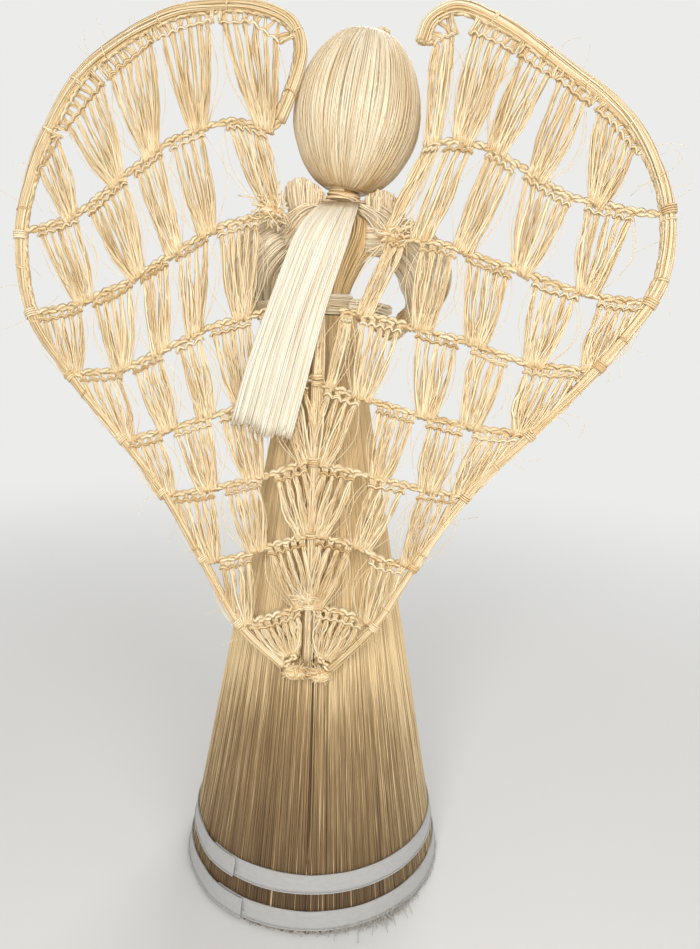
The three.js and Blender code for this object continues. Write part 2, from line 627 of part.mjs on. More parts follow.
// Wings. A wing's own sheet is flat: out from the seam, and up from the tip.
function buildWing(name, side, shares, sweep) {
  const sheet = ([out, up]) => new THREE.Vector2(out * wingReach, up * wingRise);
  const rimSheet = new THREE.SplineCurve(shares.rim.map(sheet));
  const place = (out, up, depth) => {
    const height = wingTipHeight + up;
    return new THREE.Vector3(side * out, wingDepth(height, out, sweep) + depth, height);
  };
  const inset = (rimRadius + seatGap) / Math.cos(Math.PI / rimTieSides) + rimTieThickness + seatGap;
  const rimPoints = rimSheet.getSpacedPoints(rimSteps);
  const inward = rimPoints.map((point, i) => {
    const along = rimSheet.getTangentAt(i / rimSteps);
    return point.clone().addScaledVector(new THREE.Vector2(-along.y, along.x), inset);
  });
  const seam = shares.chains.slice(shares.rowAtRimEnd).map(([first]) => sheet(first)).map((point) => (
    new THREE.Vector2(Math.max(point.x, seamCordRadius + seatGap), point.y)));
  const outline = tidied([...inward.slice(1), ...seam]);
  const slab = (points, depth) => new THREE.ExtrudeGeometry(new THREE.Shape(points), { depth,
    bevelEnabled: false }).translate(0, 0, -depth / 2);
  const tools = laceHoles(shares, sheet, outline).map((hole) => slab(hole, laceThickness + 2 * overrun));
  const lace = cut(slab(outline, laceThickness), ...tools);
  const places = lace.getAttribute('position');
  for (let i = 0; i < places.count; i += 1) {
    const spot = place(places.getX(i), places.getY(i), places.getZ(i));
    places.setXYZ(i, spot.x, spot.y, spot.z);
  }
  add(`wing_${name}_lace`, lace, material.lace);

  const rim = new THREE.CatmullRomCurve3(rimPoints.map((point) => place(point.x, point.y, 0)));
  add(`wing_${name}_rim`, tube(rim, rimRadius, rimSides, rimSteps, rimBoreRadius), material.lace);
  add(`wing_${name}_rim_wire`, tube(rim, rimWireRadius, threadSides, rimSteps), material.wire);
  const knot = rim.getPointAt(0).addScaledVector(rim.getTangentAt(0), -tipKnotRadius - seatGap);
  const seat = wrapRadius(knot.z) + (tipKnotRadius + seatGap) * Math.hypot(1, skirtSlope);
  add(`wing_${name}_tip_knot`, new THREE.IcosahedronGeometry(tipKnotRadius, 1)
    .translate(knot.x, -Math.sqrt(seat ** 2 - knot.x ** 2), knot.z), material.lace);
  for (let tie = 1; tie <= rimTieCount; tie += 1) {
    const [out, up] = shares.chains[rimTieCount + 1 - tie].at(-1);
    const share = nearestShare(rimSheet, sheet([out, up]));
    add(`wing_${name}_rim_tie_${tie}`, rimTie(rim, share), material.thread);
  }
}

// The share of a curve's length at which it passes nearest to a point.
function nearestShare(curve, point) {
  const tries = rimSteps * triesPerStep;
  let best = 0;
  for (let i = 0; i <= tries; i += 1) {
    const share = i / tries;
    if (curve.getPointAt(share).distanceTo(point) < curve.getPointAt(best).distanceTo(point)) best = share;
  }
  return best;
}

// A collar of thread that ties the lace to the rim.
function rimTie(rim, share) {
  const inner = (rimRadius + seatGap) / Math.cos(Math.PI / rimTieSides);
  const outer = inner + rimTieThickness;
  const half = rimTieLength / 2;
  const collar = turned([[inner, -half], [outer, -half], [outer, half], [inner, half], [inner, -half]],
    rimTieSides);
  const spin = new THREE.Quaternion().setFromUnitVectors(new THREE.Vector3(0, 0, 1), rim.getTangentAt(share));
  const middle = rim.getPointAt(share);
  return collar.applyQuaternion(spin).translate(middle.x, middle.y, middle.z);
}

// Drops the points of a closed outline that lie too close to the one before, or on a straight side.
function tidied(points) {
  const least = strandWidth / 2;
  const apart = points.filter((point, i) => point.distanceTo(points.at(i - 1)) > least);
  return apart.filter((point, i) => {
    const before = point.clone().sub(apart.at(i - 1)).normalize();
    const after = apart[(i + 1) % apart.length].clone().sub(point).normalize();
    return Math.abs(before.cross(after)) > leastBendShare;
  });
}

// The holes of the lace: between the strands of each row, which hang from one chain and are tied to the next.
function laceHoles(shares, sheet, outline) {
  const holes = [];
  shares.fans.forEach((fans, row) => {
    const [upper, lower] = [shares.chains[row], shares.chains[row + 1]];
    const onChain = (chain, share) => {
      const out = THREE.MathUtils.lerp(chain[0][0], chain.at(-1)[0], share);
      return sheet([out, straight(chain, out)]);
    };
    const strands = [[0, 0]];
    for (const [from, to, knot] of fans) {
      for (let i = 0; i <= slitsPerFan; i += 1) {
        strands.push([THREE.MathUtils.lerp(from, to, i / slitsPerFan), knot]);
      }
    }
    strands.push([1, 1]);
    for (let i = 1; i < strands.length; i += 1) {
      const [[topLeft, footLeft], [topRight, footRight]] = [strands[i - 1], strands[i]];
      const [a, b] = [onChain(lower, footLeft), onChain(lower, footRight)];
      const [c, d] = [onChain(upper, topRight), onChain(upper, topLeft)];
      const middle = onChain(lower, (footLeft + footRight) / 2);
      const sides = [[a, middle, chainWidth], [middle, b, chainWidth], [b, c, strandWidth],
        [c, d, chainWidth], [d, a, strandWidth]];
      const hole = trimmed(shrunk([a, b, c, d], sides), outline);
      if (hole.length > 2 && Math.abs(THREE.ShapeUtils.area(hole)) > leastHoleWidth ** 2) holes.push(hole);
    }
  });
  return holes;
}

// A polygon, anticlockwise, cut back from each side's line by half of that side's width.
function shrunk(corners, sides) {
  let left = corners;
  for (const [from, to, width] of sides) {
    if (to.distanceTo(from) > strandWidth / 2) left = clipped(left, from, to, width / 2);
  }
  return tidied(left);
}

// The part of a polygon that lies more than an amount to the left of a line.
function clipped(points, from, to, amount) {
  const inward = new THREE.Vector2(from.y - to.y, to.x - from.x).normalize();
  const limit = inward.dot(from) + amount;
  return points.flatMap((point, j) => {
    const next = points[(j + 1) % points.length];
    const [here, there] = [inward.dot(point) - limit, inward.dot(next) - limit];
    const kept = here >= 0 ? [point] : [];
    if ((here < 0) !== (there < 0)) kept.push(point.clone().lerp(next, here / (here - there)));
    return kept;
  });
}

// A hole cut back to the edge band, wherever it would come nearer to the outline than that.
function trimmed(hole, outline) {
  let left = hole;
  outline.forEach((from, i) => {
    const to = outline[(i + 1) % outline.length];
    const along = to.clone().sub(from);
    const reach = along.length();
    along.normalize();
    const near = left.some((point) => {
      const away = point.clone().sub(from);
      const [forward, inward] = [away.dot(along), along.cross(away)];
      return forward > -edgeBand && forward < reach + edgeBand && inward < edgeBand && inward > -trimReach;
    });
    if (near) left = clipped(left, from, to, edgeBand);
  });
  return tidied(left);
}

// The cord down the seam that both wings are sewn to, and the knots that hold it to the body.
function buildSeam() {
  const on = (height) => new THREE.Vector3(0, wingDepth(height, 0, 0), height);
  const foot = wingTipHeight + 2 * tipKnotRadius;
  const cord = new THREE.CatmullRomCurve3([on(foot), on(skirtHeight), on(chestHeight)]);
  add('wing_seam_cord', tube(cord, seamCordRadius, rimSides, seamSteps), material.thread);
  const waistHeight = (sashBottom + sashTop) / 2;
  const upperHeight = chestHeight - knotRadius;
  addKnot('wing_knot_waist', waistHeight, -(waistRadius + seatGap + sashThickness));
  addKnot('wing_knot_chest', upperHeight, bodyMiddle(upperHeight).y - chestDepth / 2);
}

// A knot between the body's back and the seam cord.
function addKnot(name, height, bodyBack) {
  const cordFront = wingDepth(height - knotRadius, 0, 0) + seamCordRadius;
  const half = (bodyBack - cordFront) / 2 - seatGap;
  const knot = new THREE.IcosahedronGeometry(1, 1).scale(knotRadius, half, knotRadius);
  add(name, knot.translate(0, (bodyBack + cordFront) / 2, height), material.thread);
}

buildSkirt();
buildBody();
buildHead();
buildHair();
buildArms();
buildSeam();
buildWing('left', -1, leftShares, 0);
buildWing('right', 1, rightShares, rightSweepShare);

export default doll;
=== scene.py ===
"""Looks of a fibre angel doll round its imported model: strands, crocheted lace, ribbons, floor, light, camera.

Metres, +Z up, the model's own frame. The doll's back, with the wings, faces -Y, where the camera stands.
"""
import math

import bpy
import numpy as np
from mathutils import Matrix, Vector


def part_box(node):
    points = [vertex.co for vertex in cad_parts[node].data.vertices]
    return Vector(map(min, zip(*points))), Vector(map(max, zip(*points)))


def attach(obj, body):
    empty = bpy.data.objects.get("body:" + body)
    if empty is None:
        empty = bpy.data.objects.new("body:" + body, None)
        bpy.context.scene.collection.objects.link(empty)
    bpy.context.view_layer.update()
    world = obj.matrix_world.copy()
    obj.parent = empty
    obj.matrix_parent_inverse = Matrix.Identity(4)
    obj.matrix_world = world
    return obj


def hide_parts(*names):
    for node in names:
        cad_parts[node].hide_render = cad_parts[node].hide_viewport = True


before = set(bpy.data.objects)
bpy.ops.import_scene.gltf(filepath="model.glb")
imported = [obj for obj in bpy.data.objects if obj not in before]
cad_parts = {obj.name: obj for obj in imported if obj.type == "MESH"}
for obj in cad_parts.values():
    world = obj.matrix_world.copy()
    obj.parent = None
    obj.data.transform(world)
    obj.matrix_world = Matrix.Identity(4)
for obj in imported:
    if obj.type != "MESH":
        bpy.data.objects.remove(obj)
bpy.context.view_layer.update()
random = np.random.default_rng(11)
MM = 0.001
TURN = 2 * math.pi
FORWARD = np.array([0, 1, 0])

# Camera: what the photograph's view works out to, with its frame of 700 by 949 pixels
FRAME_HEIGHT_PX = 949
FOCAL_PX = 714.5
SENSOR_MM = 36
CAMERA_PLACE = Vector((26.0, -258.0, 204.0)) * MM
CAMERA_PITCH = math.radians(11.358)
CAMERA_YAW = math.radians(-3.449)
CAMERA_ROLL = math.radians(1.8)

# Floor and light. A light is its place, size, power and colour
BACKDROP = (0.84, 0.84, 0.83, 1)
FLOOR_COLOUR = (0.74, 0.74, 0.73, 1)
FLOOR_RADIUS, FLOOR_CORNERS = 9, 64
FLOOR_FADE = (0.12, 0.8)
AMBIENT = (0.95, 0.95, 0.94, 1)
AMBIENT_STRENGTH = 0.5
LIT_PLACE = (0, 0, 0.17)
LIGHTS = {
    "front": (CAMERA_PLACE + Vector((0, -0.05, 0.06)), 0.22, 0.45, (1, 0.98, 0.95)),
    "key": ((-0.26, -1.15, 0.68), 0.3, 4.1, (1, 0.97, 0.93)),
    "fill": ((0.7, -0.95, 0.6), 0.5, 3.4, (1, 0.98, 0.96)),
    "back": ((0.3, 1.1, 1.0), 0.8, 7, (1, 1, 1)),
}

# Skirt and hem. The fibres part along a split that is marked with painted shade, and are paler from one height
# up to another, which is painted light
BASE_RADIUS = 49.4 * MM
SKIRT_TOP_RADIUS = 10.6 * MM
SKIRT_FOOT, SKIRT_HEIGHT = (corner.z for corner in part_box("skirt_fibre_wrap"))
SKIRT_PAINTED_LIGHT_HEIGHTS = (52 * MM, 135 * MM)
SPLIT_TURN = math.radians(273.5)
SPLIT_HALF = math.radians(1.1)
SPLIT_LOW, SPLIT_HIGH = 21 * MM, 112 * MM
RIBBON_WIDTH = 6.3 * MM
RIBBON_THICKNESS = 0.5 * MM
RIBBON_GAP = 0.3 * MM
RIBBON_LAP = math.radians(14)
RIBBON_LAP_TURNS = {"lower": math.radians(232), "upper": math.radians(226)}
HEM_MESS_TURN = math.radians(305)
HEM_CLEARANCE = 0.12 * MM

# Body
SASH_LOW, SASH_HIGH = (corner.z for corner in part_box("waist_sash"))
SASH_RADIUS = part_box("waist_sash")[1].x
WAIST_RADIUS = 8 * MM
CHEST_HALF = (13.5 * MM, 9 * MM)
CHEST_SHARES = ((0, 0), (0.2, 0.45), (0.45, 0.9), (0.62, 1), (0.8, 0.84), (0.92, 0.35), (1, 0))
NECK = Vector((5, 3, 247)) * MM
NECK_RADIUS = 4.4 * MM
SHOULDER_HEIGHT = 241 * MM
LEAN_START = SASH_HIGH + 1.2 * MM

# Head
HEAD_TILT = math.radians(8)
HEAD_UP = np.array([math.sin(HEAD_TILT), 0, math.cos(HEAD_TILT)])
HEAD_ACROSS = np.array([math.cos(HEAD_TILT), 0, -math.sin(HEAD_TILT)])
HEAD_FOOT_RISE = 4.3 * MM
HEAD_FOOT = np.array(NECK) + HEAD_UP * HEAD_FOOT_RISE
HEAD_WIDTH = 43 * MM
HEAD_HEIGHT = 51.2 * MM
HEAD_SHARES = ((0.34, 0), (0.55, 0.05), (0.75, 0.14), (0.88, 0.24), (0.97, 0.34), (1, 0.44), (0.97, 0.58),
               (0.84, 0.74), (0.66, 0.86), (0.42, 0.95), (0.04, 1))

# Hair tail
TAIL_LENGTH = 76 * MM
TAIL_LEAN = math.radians(16.5)
TAIL_TOP = Vector((5, -3.5, 246.7)) * MM
TAIL_BOW = 1.5 * MM
TAIL_LAID_SHARE = 0.22
TAIL_HALF_SHARES = ((0, 0.6), (0.08, 0.74), (0.2, 0.84), (0.45, 0.88), (0.75, 0.99), (1, 0.99))
TAIL_HALF_WIDTH = 9.9 * MM
TAIL_OFF_WING = 3.6 * MM

# Arms
SLEEVE_RADII = ((0, 5.4 * MM), (0.35, 9.2 * MM), (0.62, 9.2 * MM), (0.86, 3.4 * MM), (1, 3.4 * MM))
SLEEVE_ROOT_RADIUS = 5.4 * MM
SLEEVE_OUT, SLEEVE_DROP, CUFF_FORWARD = 30 * MM, 34 * MM, 13 * MM
SLEEVE_SHARES = ((0.3, 0, 0), (0.68, 0.02, 0), (0.96, 0.3, 0), (1, 0.62, 0.3), (0.9, 0.86, 0.7), (0.76, 1, 1))
SLEEVE_PLEATS, RUFF_PLEATS = 17, 13
CUFF_RADIUS = 3.4 * MM
HAND_RADIUS, HAND_REACH = 3 * MM, 29 * MM

# Wings: the plane that each lies in, and the lace's outline and rows as shares of its reach and rise
WING_REACH = 106 * MM
WING_RISE = 217 * MM
WING_TIP_HEIGHT = 89 * MM
WING_BACK = 35.68 * MM
WING_LEAN_SHARE = 0.143
RIM_RADIUS = 2 * MM
LEFT_SHARES = {
    "rim": [(0.075, 0.015), (0.22, 0.075), (0.35, 0.175), (0.48, 0.275), (0.62, 0.355), (0.8, 0.455),
            (0.925, 0.545), (0.96, 0.66), (0.92, 0.76), (0.865, 0.825), (0.78, 0.895), (0.66, 0.945),
            (0.555, 0.975), (0.46, 0.993), (0.345, 1), (0.25, 1), (0.165, 0.99), (0.11, 0.972), (0.085, 0.94),
            (0.1, 0.895), (0.145, 0.835)],
    "chains": [
        [(0.13, 0.94), (0.24, 0.975), (0.4, 0.975), (0.54, 0.95), (0.68, 0.895), (0.8, 0.83), (0.91, 0.745)],
        [(0.17, 0.82), (0.28, 0.835), (0.38, 0.825), (0.5, 0.8), (0.63, 0.75), (0.78, 0.69), (0.93, 0.665)],
        [(0.13, 0.705), (0.32, 0.68), (0.46, 0.64), (0.62, 0.59), (0.78, 0.555), (0.92, 0.54)],
        [(0.13, 0.56), (0.34, 0.53), (0.5, 0.49), (0.62, 0.46), (0.8, 0.45)],
        [(0.01, 0.46), (0.24, 0.41), (0.48, 0.37), (0.62, 0.35)],
        [(0.01, 0.335), (0.16, 0.305), (0.35, 0.28), (0.48, 0.27)],
        [(0.01, 0.22), (0.13, 0.2), (0.23, 0.18), (0.35, 0.17)],
        [(0.01, 0.11), (0.12, 0.09), (0.22, 0.075)],
        [(0.04, 0.03), (0.07, 0.035)],
    ],
    "fans": [
        [(0.03, 0.27, 0.03), (0.3, 0.51, 0.3), (0.53, 0.71, 0.49), (0.73, 0.88, 0.63), (0.9, 0.99, 0.82)],
        [(0.02, 0.2, 0.04), (0.27, 0.43, 0.29), (0.45, 0.57, 0.42), (0.59, 0.77, 0.57), (0.79, 0.98, 0.78)],
        [(0.08, 0.26, 0.17), (0.28, 0.42, 0.39), (0.44, 0.56, 0.55), (0.58, 0.76, 0.73), (0.78, 0.98, 0.97)],
        [(0.01, 0.1, 0.12), (0.12, 0.33, 0.36), (0.35, 0.49, 0.55), (0.54, 0.7, 0.75), (0.73, 0.96, 0.97)],
        [(0.03, 0.2, 0.02), (0.28, 0.5, 0.38), (0.52, 0.74, 0.69), (0.78, 0.98, 0.97)],
        [(0.02, 0.27, 0.03), (0.32, 0.6, 0.48), (0.64, 0.95, 0.92)],
        [(0.02, 0.42, 0.02), (0.51, 0.85, 0.95)],
        [(0.04, 0.94, 0.5)],
    ],
}
RIGHT_SHARES = {
    "rim": [(0.075, 0.015), (0.21, 0.09), (0.33, 0.19), (0.48, 0.3), (0.65, 0.39), (0.83, 0.49),
            (0.965, 0.585), (0.997, 0.64), (0.992, 0.71), (0.95, 0.77), (0.89, 0.82), (0.81, 0.86),
            (0.7, 0.9), (0.56, 0.95), (0.45, 0.98), (0.385, 0.99), (0.335, 0.985), (0.295, 0.97),
            (0.276, 0.943)],
    "chains": [
        [(0.3, 0.935), (0.37, 0.955), (0.47, 0.945), (0.57, 0.915), (0.7, 0.875), (0.81, 0.83),
         (0.91, 0.775)],
        [(0.295, 0.8), (0.4, 0.805), (0.51, 0.79), (0.63, 0.75), (0.72, 0.725), (0.85, 0.71), (0.96, 0.7)],
        [(0.19, 0.67), (0.36, 0.66), (0.48, 0.64), (0.6, 0.62), (0.72, 0.6), (0.85, 0.585), (0.97, 0.58)],
        [(0.06, 0.56), (0.19, 0.55), (0.31, 0.535), (0.45, 0.52), (0.63, 0.49), (0.83, 0.485)],
        [(0.01, 0.45), (0.15, 0.43), (0.32, 0.41), (0.49, 0.395), (0.64, 0.39)],
        [(0.01, 0.33), (0.18, 0.315), (0.34, 0.3), (0.47, 0.295)],
        [(0.01, 0.22), (0.14, 0.21), (0.22, 0.19), (0.32, 0.185)],
        [(0.01, 0.11), (0.12, 0.105), (0.2, 0.09)],
        [(0.04, 0.03), (0.07, 0.035)],
    ],
    "fans": [
        [(0.02, 0.12, 0.04), (0.19, 0.4, 0.17), (0.42, 0.58, 0.32), (0.6, 0.76, 0.5), (0.79, 0.98, 0.75)],
        [(0.01, 0.08, 0.01), (0.1, 0.24, 0.14), (0.28, 0.42, 0.3), (0.44, 0.67, 0.52), (0.7, 0.93, 0.76)],
        [(0.02, 0.1, 0.1), (0.13, 0.29, 0.33), (0.31, 0.5, 0.54), (0.56, 0.75, 0.76), (0.8, 0.98, 0.97)],
        [(0.01, 0.06, 0.05), (0.08, 0.27, 0.21), (0.3, 0.49, 0.52), (0.52, 0.68, 0.73), (0.72, 0.95, 0.97)],
        [(0.02, 0.22, 0.02), (0.28, 0.49, 0.42), (0.52, 0.72, 0.75), (0.75, 0.98, 0.97)],
        [(0.02, 0.29, 0.03), (0.35, 0.63, 0.48), (0.68, 0.97, 0.97)],
        [(0.02, 0.42, 0.02), (0.55, 0.95, 0.95)],
        [(0.04, 0.94, 0.5)],
    ],
}
RIM_TIE_COUNT = 7
RIM_THICKENS = (0.25, 0.6)
RIM_NIPS = 17
RIM_REACH = 14 * MM
STITCH = 3.2 * MM
SECOND_LINE = 2.9 * MM
GATHER_HALF = 3.1 * MM
PILLAR_STRANDS = 17
PLAIT_INSET = 1.8 * MM
PLAIT_FROM = 0.42
STRAY_REACH = 12 * MM
# A fan's pillars, at each of their seven points: how deep they lie, and how much of their own swell they take
PILLAR_DEPTHS = np.array([-0.1, 0.3, 0.3, 0.2, 0.5, 0.75, -0.25])
PILLAR_SWELLS = np.array([0, 0.2, 0.6, 1, 0.5, 0.1, 0])


# Small sums

def unit(vectors):
    return vectors / np.maximum(np.linalg.norm(vectors, axis=-1, keepdims=True), 1e-12)


def smooth_step(x, low, high):
    share = np.clip((np.asarray(x, float) - low) / (high - low), 0, 1)
    return share * share * (3 - 2 * share)


def ramp(steps):
    """Even shares from 0 to 1, as a row."""
    return np.linspace(0, 1, steps)[None, :]


def read_off(pairs, where):
    """Reads a value off (place, value) pairs, in straight lines between them."""
    places, values = zip(*pairs)
    return np.interp(where, places, values)


def points_of(x, y, z=0.0):
    """Points from their three axes, each of which may be a number, a row or a column."""
    return np.stack(np.broadcast_arrays(x, y, z), -1)


def oval(turn, wide, deep, height=0.0):
    """Points at turns on level ovals about the upright axis."""
    return points_of(wide * np.cos(turn), deep * np.sin(turn), height)


def outward(turn):
    """The level directions at turns about the upright axis."""
    return oval(turn, 1, 1)


def about(turn, across, deep):
    """The directions at turns from across to deep."""
    return across * np.cos(turn)[..., None] + deep * np.sin(turn)[..., None]


def splines(controls, steps):
    """Smooth lines through rows of control points: (lines, points, axes) in, (lines, steps, axes) out."""
    c = np.asarray(controls, float)
    ends = np.concatenate([2 * c[:, :1] - c[:, 1:2], c, 2 * c[:, -1:] - c[:, -2:-1]], 1)
    spans = c.shape[1] - 1
    where = np.linspace(0, spans, steps)
    i = np.minimum(where.astype(int), spans - 1)
    t = (where - i)[None, :, None]
    a, b, c, d = (ends[:, i + k] for k in range(4))
    cubic = (3 * b - a - 3 * c + d) * t ** 3
    return 0.5 * (2 * b + (c - a) * t + (2 * a - 5 * b + 4 * c - d) * t ** 2 + cubic)


def through(controls, steps):
    """Smooth lines, each through its own point of every control."""
    return splines(np.stack(controls, 1), steps)


def even(line, count):
    """The points that lie evenly along one line."""
    lengths = np.concatenate([[0], np.cumsum(np.linalg.norm(np.diff(line, axis=0), axis=1))])
    want = np.linspace(0, lengths[-1], count)
    return np.stack([np.interp(want, lengths, line[:, k]) for k in range(line.shape[1])], -1)


def nearest(line, point):
    return int(np.argmin(np.linalg.norm(line - point, axis=1)))


def frames_along(line):
    """For each point of a line, two directions square to it, turned as little as they can be."""
    along = unit(np.gradient(line, axis=0))
    across = [unit(np.cross(along[0], (0.2, 1, 0.1)))]
    for direction in along[1:]:
        across.append(unit(across[-1] - direction * np.dot(across[-1], direction)))
    across = np.array(across)
    return along, across, np.cross(along, across)


# Random draws

def each(low, high, count):
    """A number for each strand, as a column."""
    return random.uniform(low, high, (count, 1))


def scatter(count, size):
    """A short way in any direction for each strand, with its usual length in millimetres."""
    return random.normal(0, size, (count, 3)) * MM


def sway(count, size):
    """What turns each strand's facing, or bends it, its own way."""
    return random.normal(0, size, (count, 1, 3))


def uneven(where, places, low, high):
    """A value that is drawn at each of some places and changes in straight lines between them."""
    return np.interp(where, places, random.uniform(low, high, len(places)))


def wobble(count, steps, size, waves=3):
    """Slow swings, one row for each strand."""
    where = ramp(steps)
    total = np.zeros((count, steps))
    for wave in range(1, waves + 1):
        phase = each(0, TURN, count)
        total += random.normal(0, 1 / wave, (count, 1)) * np.sin(math.pi * wave * where + phase)
    return total * size


# Meshes of strands

def between(lower, upper, sides):
    """Quads between rings of points, each ring given by its first point's number."""
    ring = np.arange(sides)
    after = (ring + 1) % sides
    return np.stack([lower + ring, lower + after, upper + after, upper + ring], -1)


class Strands:
    """Gathers strips, threads and skins into one mesh. For the materials, each point keeps its strand's tone,
    how far it is darkened towards a warm colour by painted shade and by stain, and where it lies across and
    along."""

    def __init__(self):
        self.points, self.quads, self.tones, self.warmths, self.lays = [], [], [], [], []
        self.count = 0

    def take(self, points, quads, tone, warm, lay):
        """Takes in points, and quads that count from the first of them. Returns that point's number."""
        first = self.count
        self.points.append(points.reshape(-1, 3))
        self.quads.append(quads.reshape(-1, 4) + first)
        self.tones.append(tone.ravel())
        self.warmths.append(warm.ravel())
        self.lays.append(lay.reshape(-1, 3))
        self.count += len(self.points[-1])
        return first

    def lay_strands(self, paths, facing, half_width, half_thick, tone=None, warm=0.0, sides=4):
        """Adds closed strands along paths, (strands, steps, 3), with their flat sides towards facing."""
        paths = np.asarray(paths, float)
        if paths.ndim == 2:
            paths = paths[None]
        count, steps, _ = paths.shape
        along = unit(np.gradient(paths, axis=1))
        side = unit(np.cross(along, np.broadcast_to(facing, paths.shape)))
        out = np.cross(along, side)
        turn = TURN * np.arange(sides) / sides
        across = np.broadcast_to(half_width, (count, steps))[:, :, None] * np.cos(turn)
        above = np.broadcast_to(half_thick, (count, steps))[:, :, None] * np.sin(turn)
        points = paths[:, :, None] + side[:, :, None] * across[..., None] + out[:, :, None] * above[..., None]
        base = (np.arange(count)[:, None, None] * steps + np.arange(steps - 1)[None, :, None]) * sides
        tone = each(0, 1, count) if tone is None else tone
        tones, painted_shade_and_stain_grid = (np.broadcast_to(np.broadcast_to(value, (count, steps))[:, :, None], across.shape)
                        for value in (tone, warm))
        run = np.cumsum(np.linalg.norm(np.diff(paths, axis=1), axis=2), 1)
        run = np.concatenate([np.zeros((count, 1)), run], 1)
        lay = points_of(across + random.uniform(0, 1, (count, 1, 1)),
                        run[:, :, None] + random.uniform(0, 1, (count, 1, 1)))
        first = self.take(points, between(base, base + sides, sides), tones, painted_shade_and_stain_grid, lay)
        foot = first + np.arange(count)[:, None] * steps * sides
        caps = [np.array([[0, k + 1, k + 2, k + 3]]) for k in range(0, sides - 2, 2)]
        self.quads.extend(foot + cap[:, [0, 3, 2, 1]] for cap in caps)
        self.quads.extend(foot + (steps - 1) * sides + cap for cap in caps)

    def lay_skin(self, rings, lay, tone=0.5, warm=0.0, joined=False):
        """Adds a skin through closed rings, (rings, points, 3). Its last ring joins its first, or quads close
        both ends."""
        count, around, _ = rings.shape
        base = np.arange(count if joined else count - 1)[:, None] * around
        quads = between(base, (base + around) % (count * around), around)
        tones, painted_shade_and_stain_grid = (np.broadcast_to(value, (count, around)) for value in (tone, warm))
        first = self.take(rings, quads, tones, painted_shade_and_stain_grid, lay)
        if joined:
            return
        i = np.arange(around // 2 - 1)
        for start, step in ((first, -1), (first + (count - 1) * around, 1)):
            cap = np.stack([start + i, start + i + 1, start + around - 2 - i, start + around - 1 - i], -1)
            self.quads.append(cap[:, ::step])

    def build(self, name, material, body, slot, *replaced):
        points = np.concatenate(self.points)
        quads = np.concatenate(self.quads).astype(np.int32)
        mesh = bpy.data.meshes.new(name)
        mesh.vertices.add(len(points))
        mesh.vertices.foreach_set("co", points.astype(np.float32).ravel())
        mesh.loops.add(quads.size)
        mesh.loops.foreach_set("vertex_index", quads.ravel())
        mesh.polygons.add(len(quads))
        mesh.polygons.foreach_set("loop_start", np.arange(0, quads.size, 4, dtype=np.int32))
        mesh.update(calc_edges=True)
        mesh.shade_smooth()
        for kind, shape, field, values in (("tone", "FLOAT", "value", self.tones),
                                           ("warm", "FLOAT", "value", self.warmths),
                                           ("lay", "FLOAT_VECTOR", "vector", self.lays)):
            made = mesh.attributes.new(kind, shape, "POINT")
            made.data.foreach_set(field, np.concatenate(values).astype(np.float32).ravel())
        mesh.materials.append(material)
        piece = bpy.data.objects.new(name, mesh)
        bpy.context.scene.collection.objects.link(piece)
        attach(piece, body)
        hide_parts(*replaced)


# Materials

def feed(tree, made, inputs):
    """Sets a node's inputs, by name or number, to values, or links them to other nodes' sockets."""
    for key, value in inputs.items():
        if isinstance(value, bpy.types.NodeSocket):
            tree.links.new(value, made.inputs[key])
        else:
            made.inputs[key].default_value = value


def add(tree, kind, inputs, output=0, **settings):
    """Adds a node and returns one of its outputs."""
    made = tree.nodes.new("ShaderNode" + kind)
    for key, value in settings.items():
        setattr(made, key, value)
    feed(tree, made, inputs)
    return made.outputs[output]


def maths(tree, operation, *values):
    return add(tree, "Math", dict(enumerate(values)), operation=operation)


def kept(tree, name, output="Fac"):
    """What each point of a mesh keeps under a name."""
    return add(tree, "Attribute", {}, output, attribute_name=name, attribute_type="GEOMETRY")


def noise(tree, place, scale, detail, rough=0.5):
    """Noise over a place. scale is one number, or how much the place is stretched along each axis first."""
    if isinstance(scale, tuple):
        place = add(tree, "VectorMath", {0: place, 1: scale}, operation="MULTIPLY")
        scale = 1.0
    inputs = {"Vector": place, "Scale": scale, "Detail": detail, "Roughness": rough}
    return add(tree, "TexNoise", inputs, "Fac")


def mixed(tree, share, first, second):
    """A mix of two colours."""
    return add(tree, "Mix", {"Factor": share, 6: first, 7: second}, 2, data_type="RGBA", blend_type="MIX")


def new_material(name, **inputs):
    material = bpy.data.materials.new(name)
    material.use_nodes = True
    tree = material.node_tree
    feed(tree, tree.nodes["Principled BSDF"], {key.replace("_", " "): value for key, value in inputs.items()})
    return material, tree


def surface(tree, colour, height, bump, depth=0.2 * MM, **inputs):
    """Gives a material its colour and its relief."""
    relief = add(tree, "Bump", {"Strength": bump, "Distance": depth, "Height": height})
    feed(tree, tree.nodes["Principled BSDF"], {"Base Color": colour, "Normal": relief, **inputs})


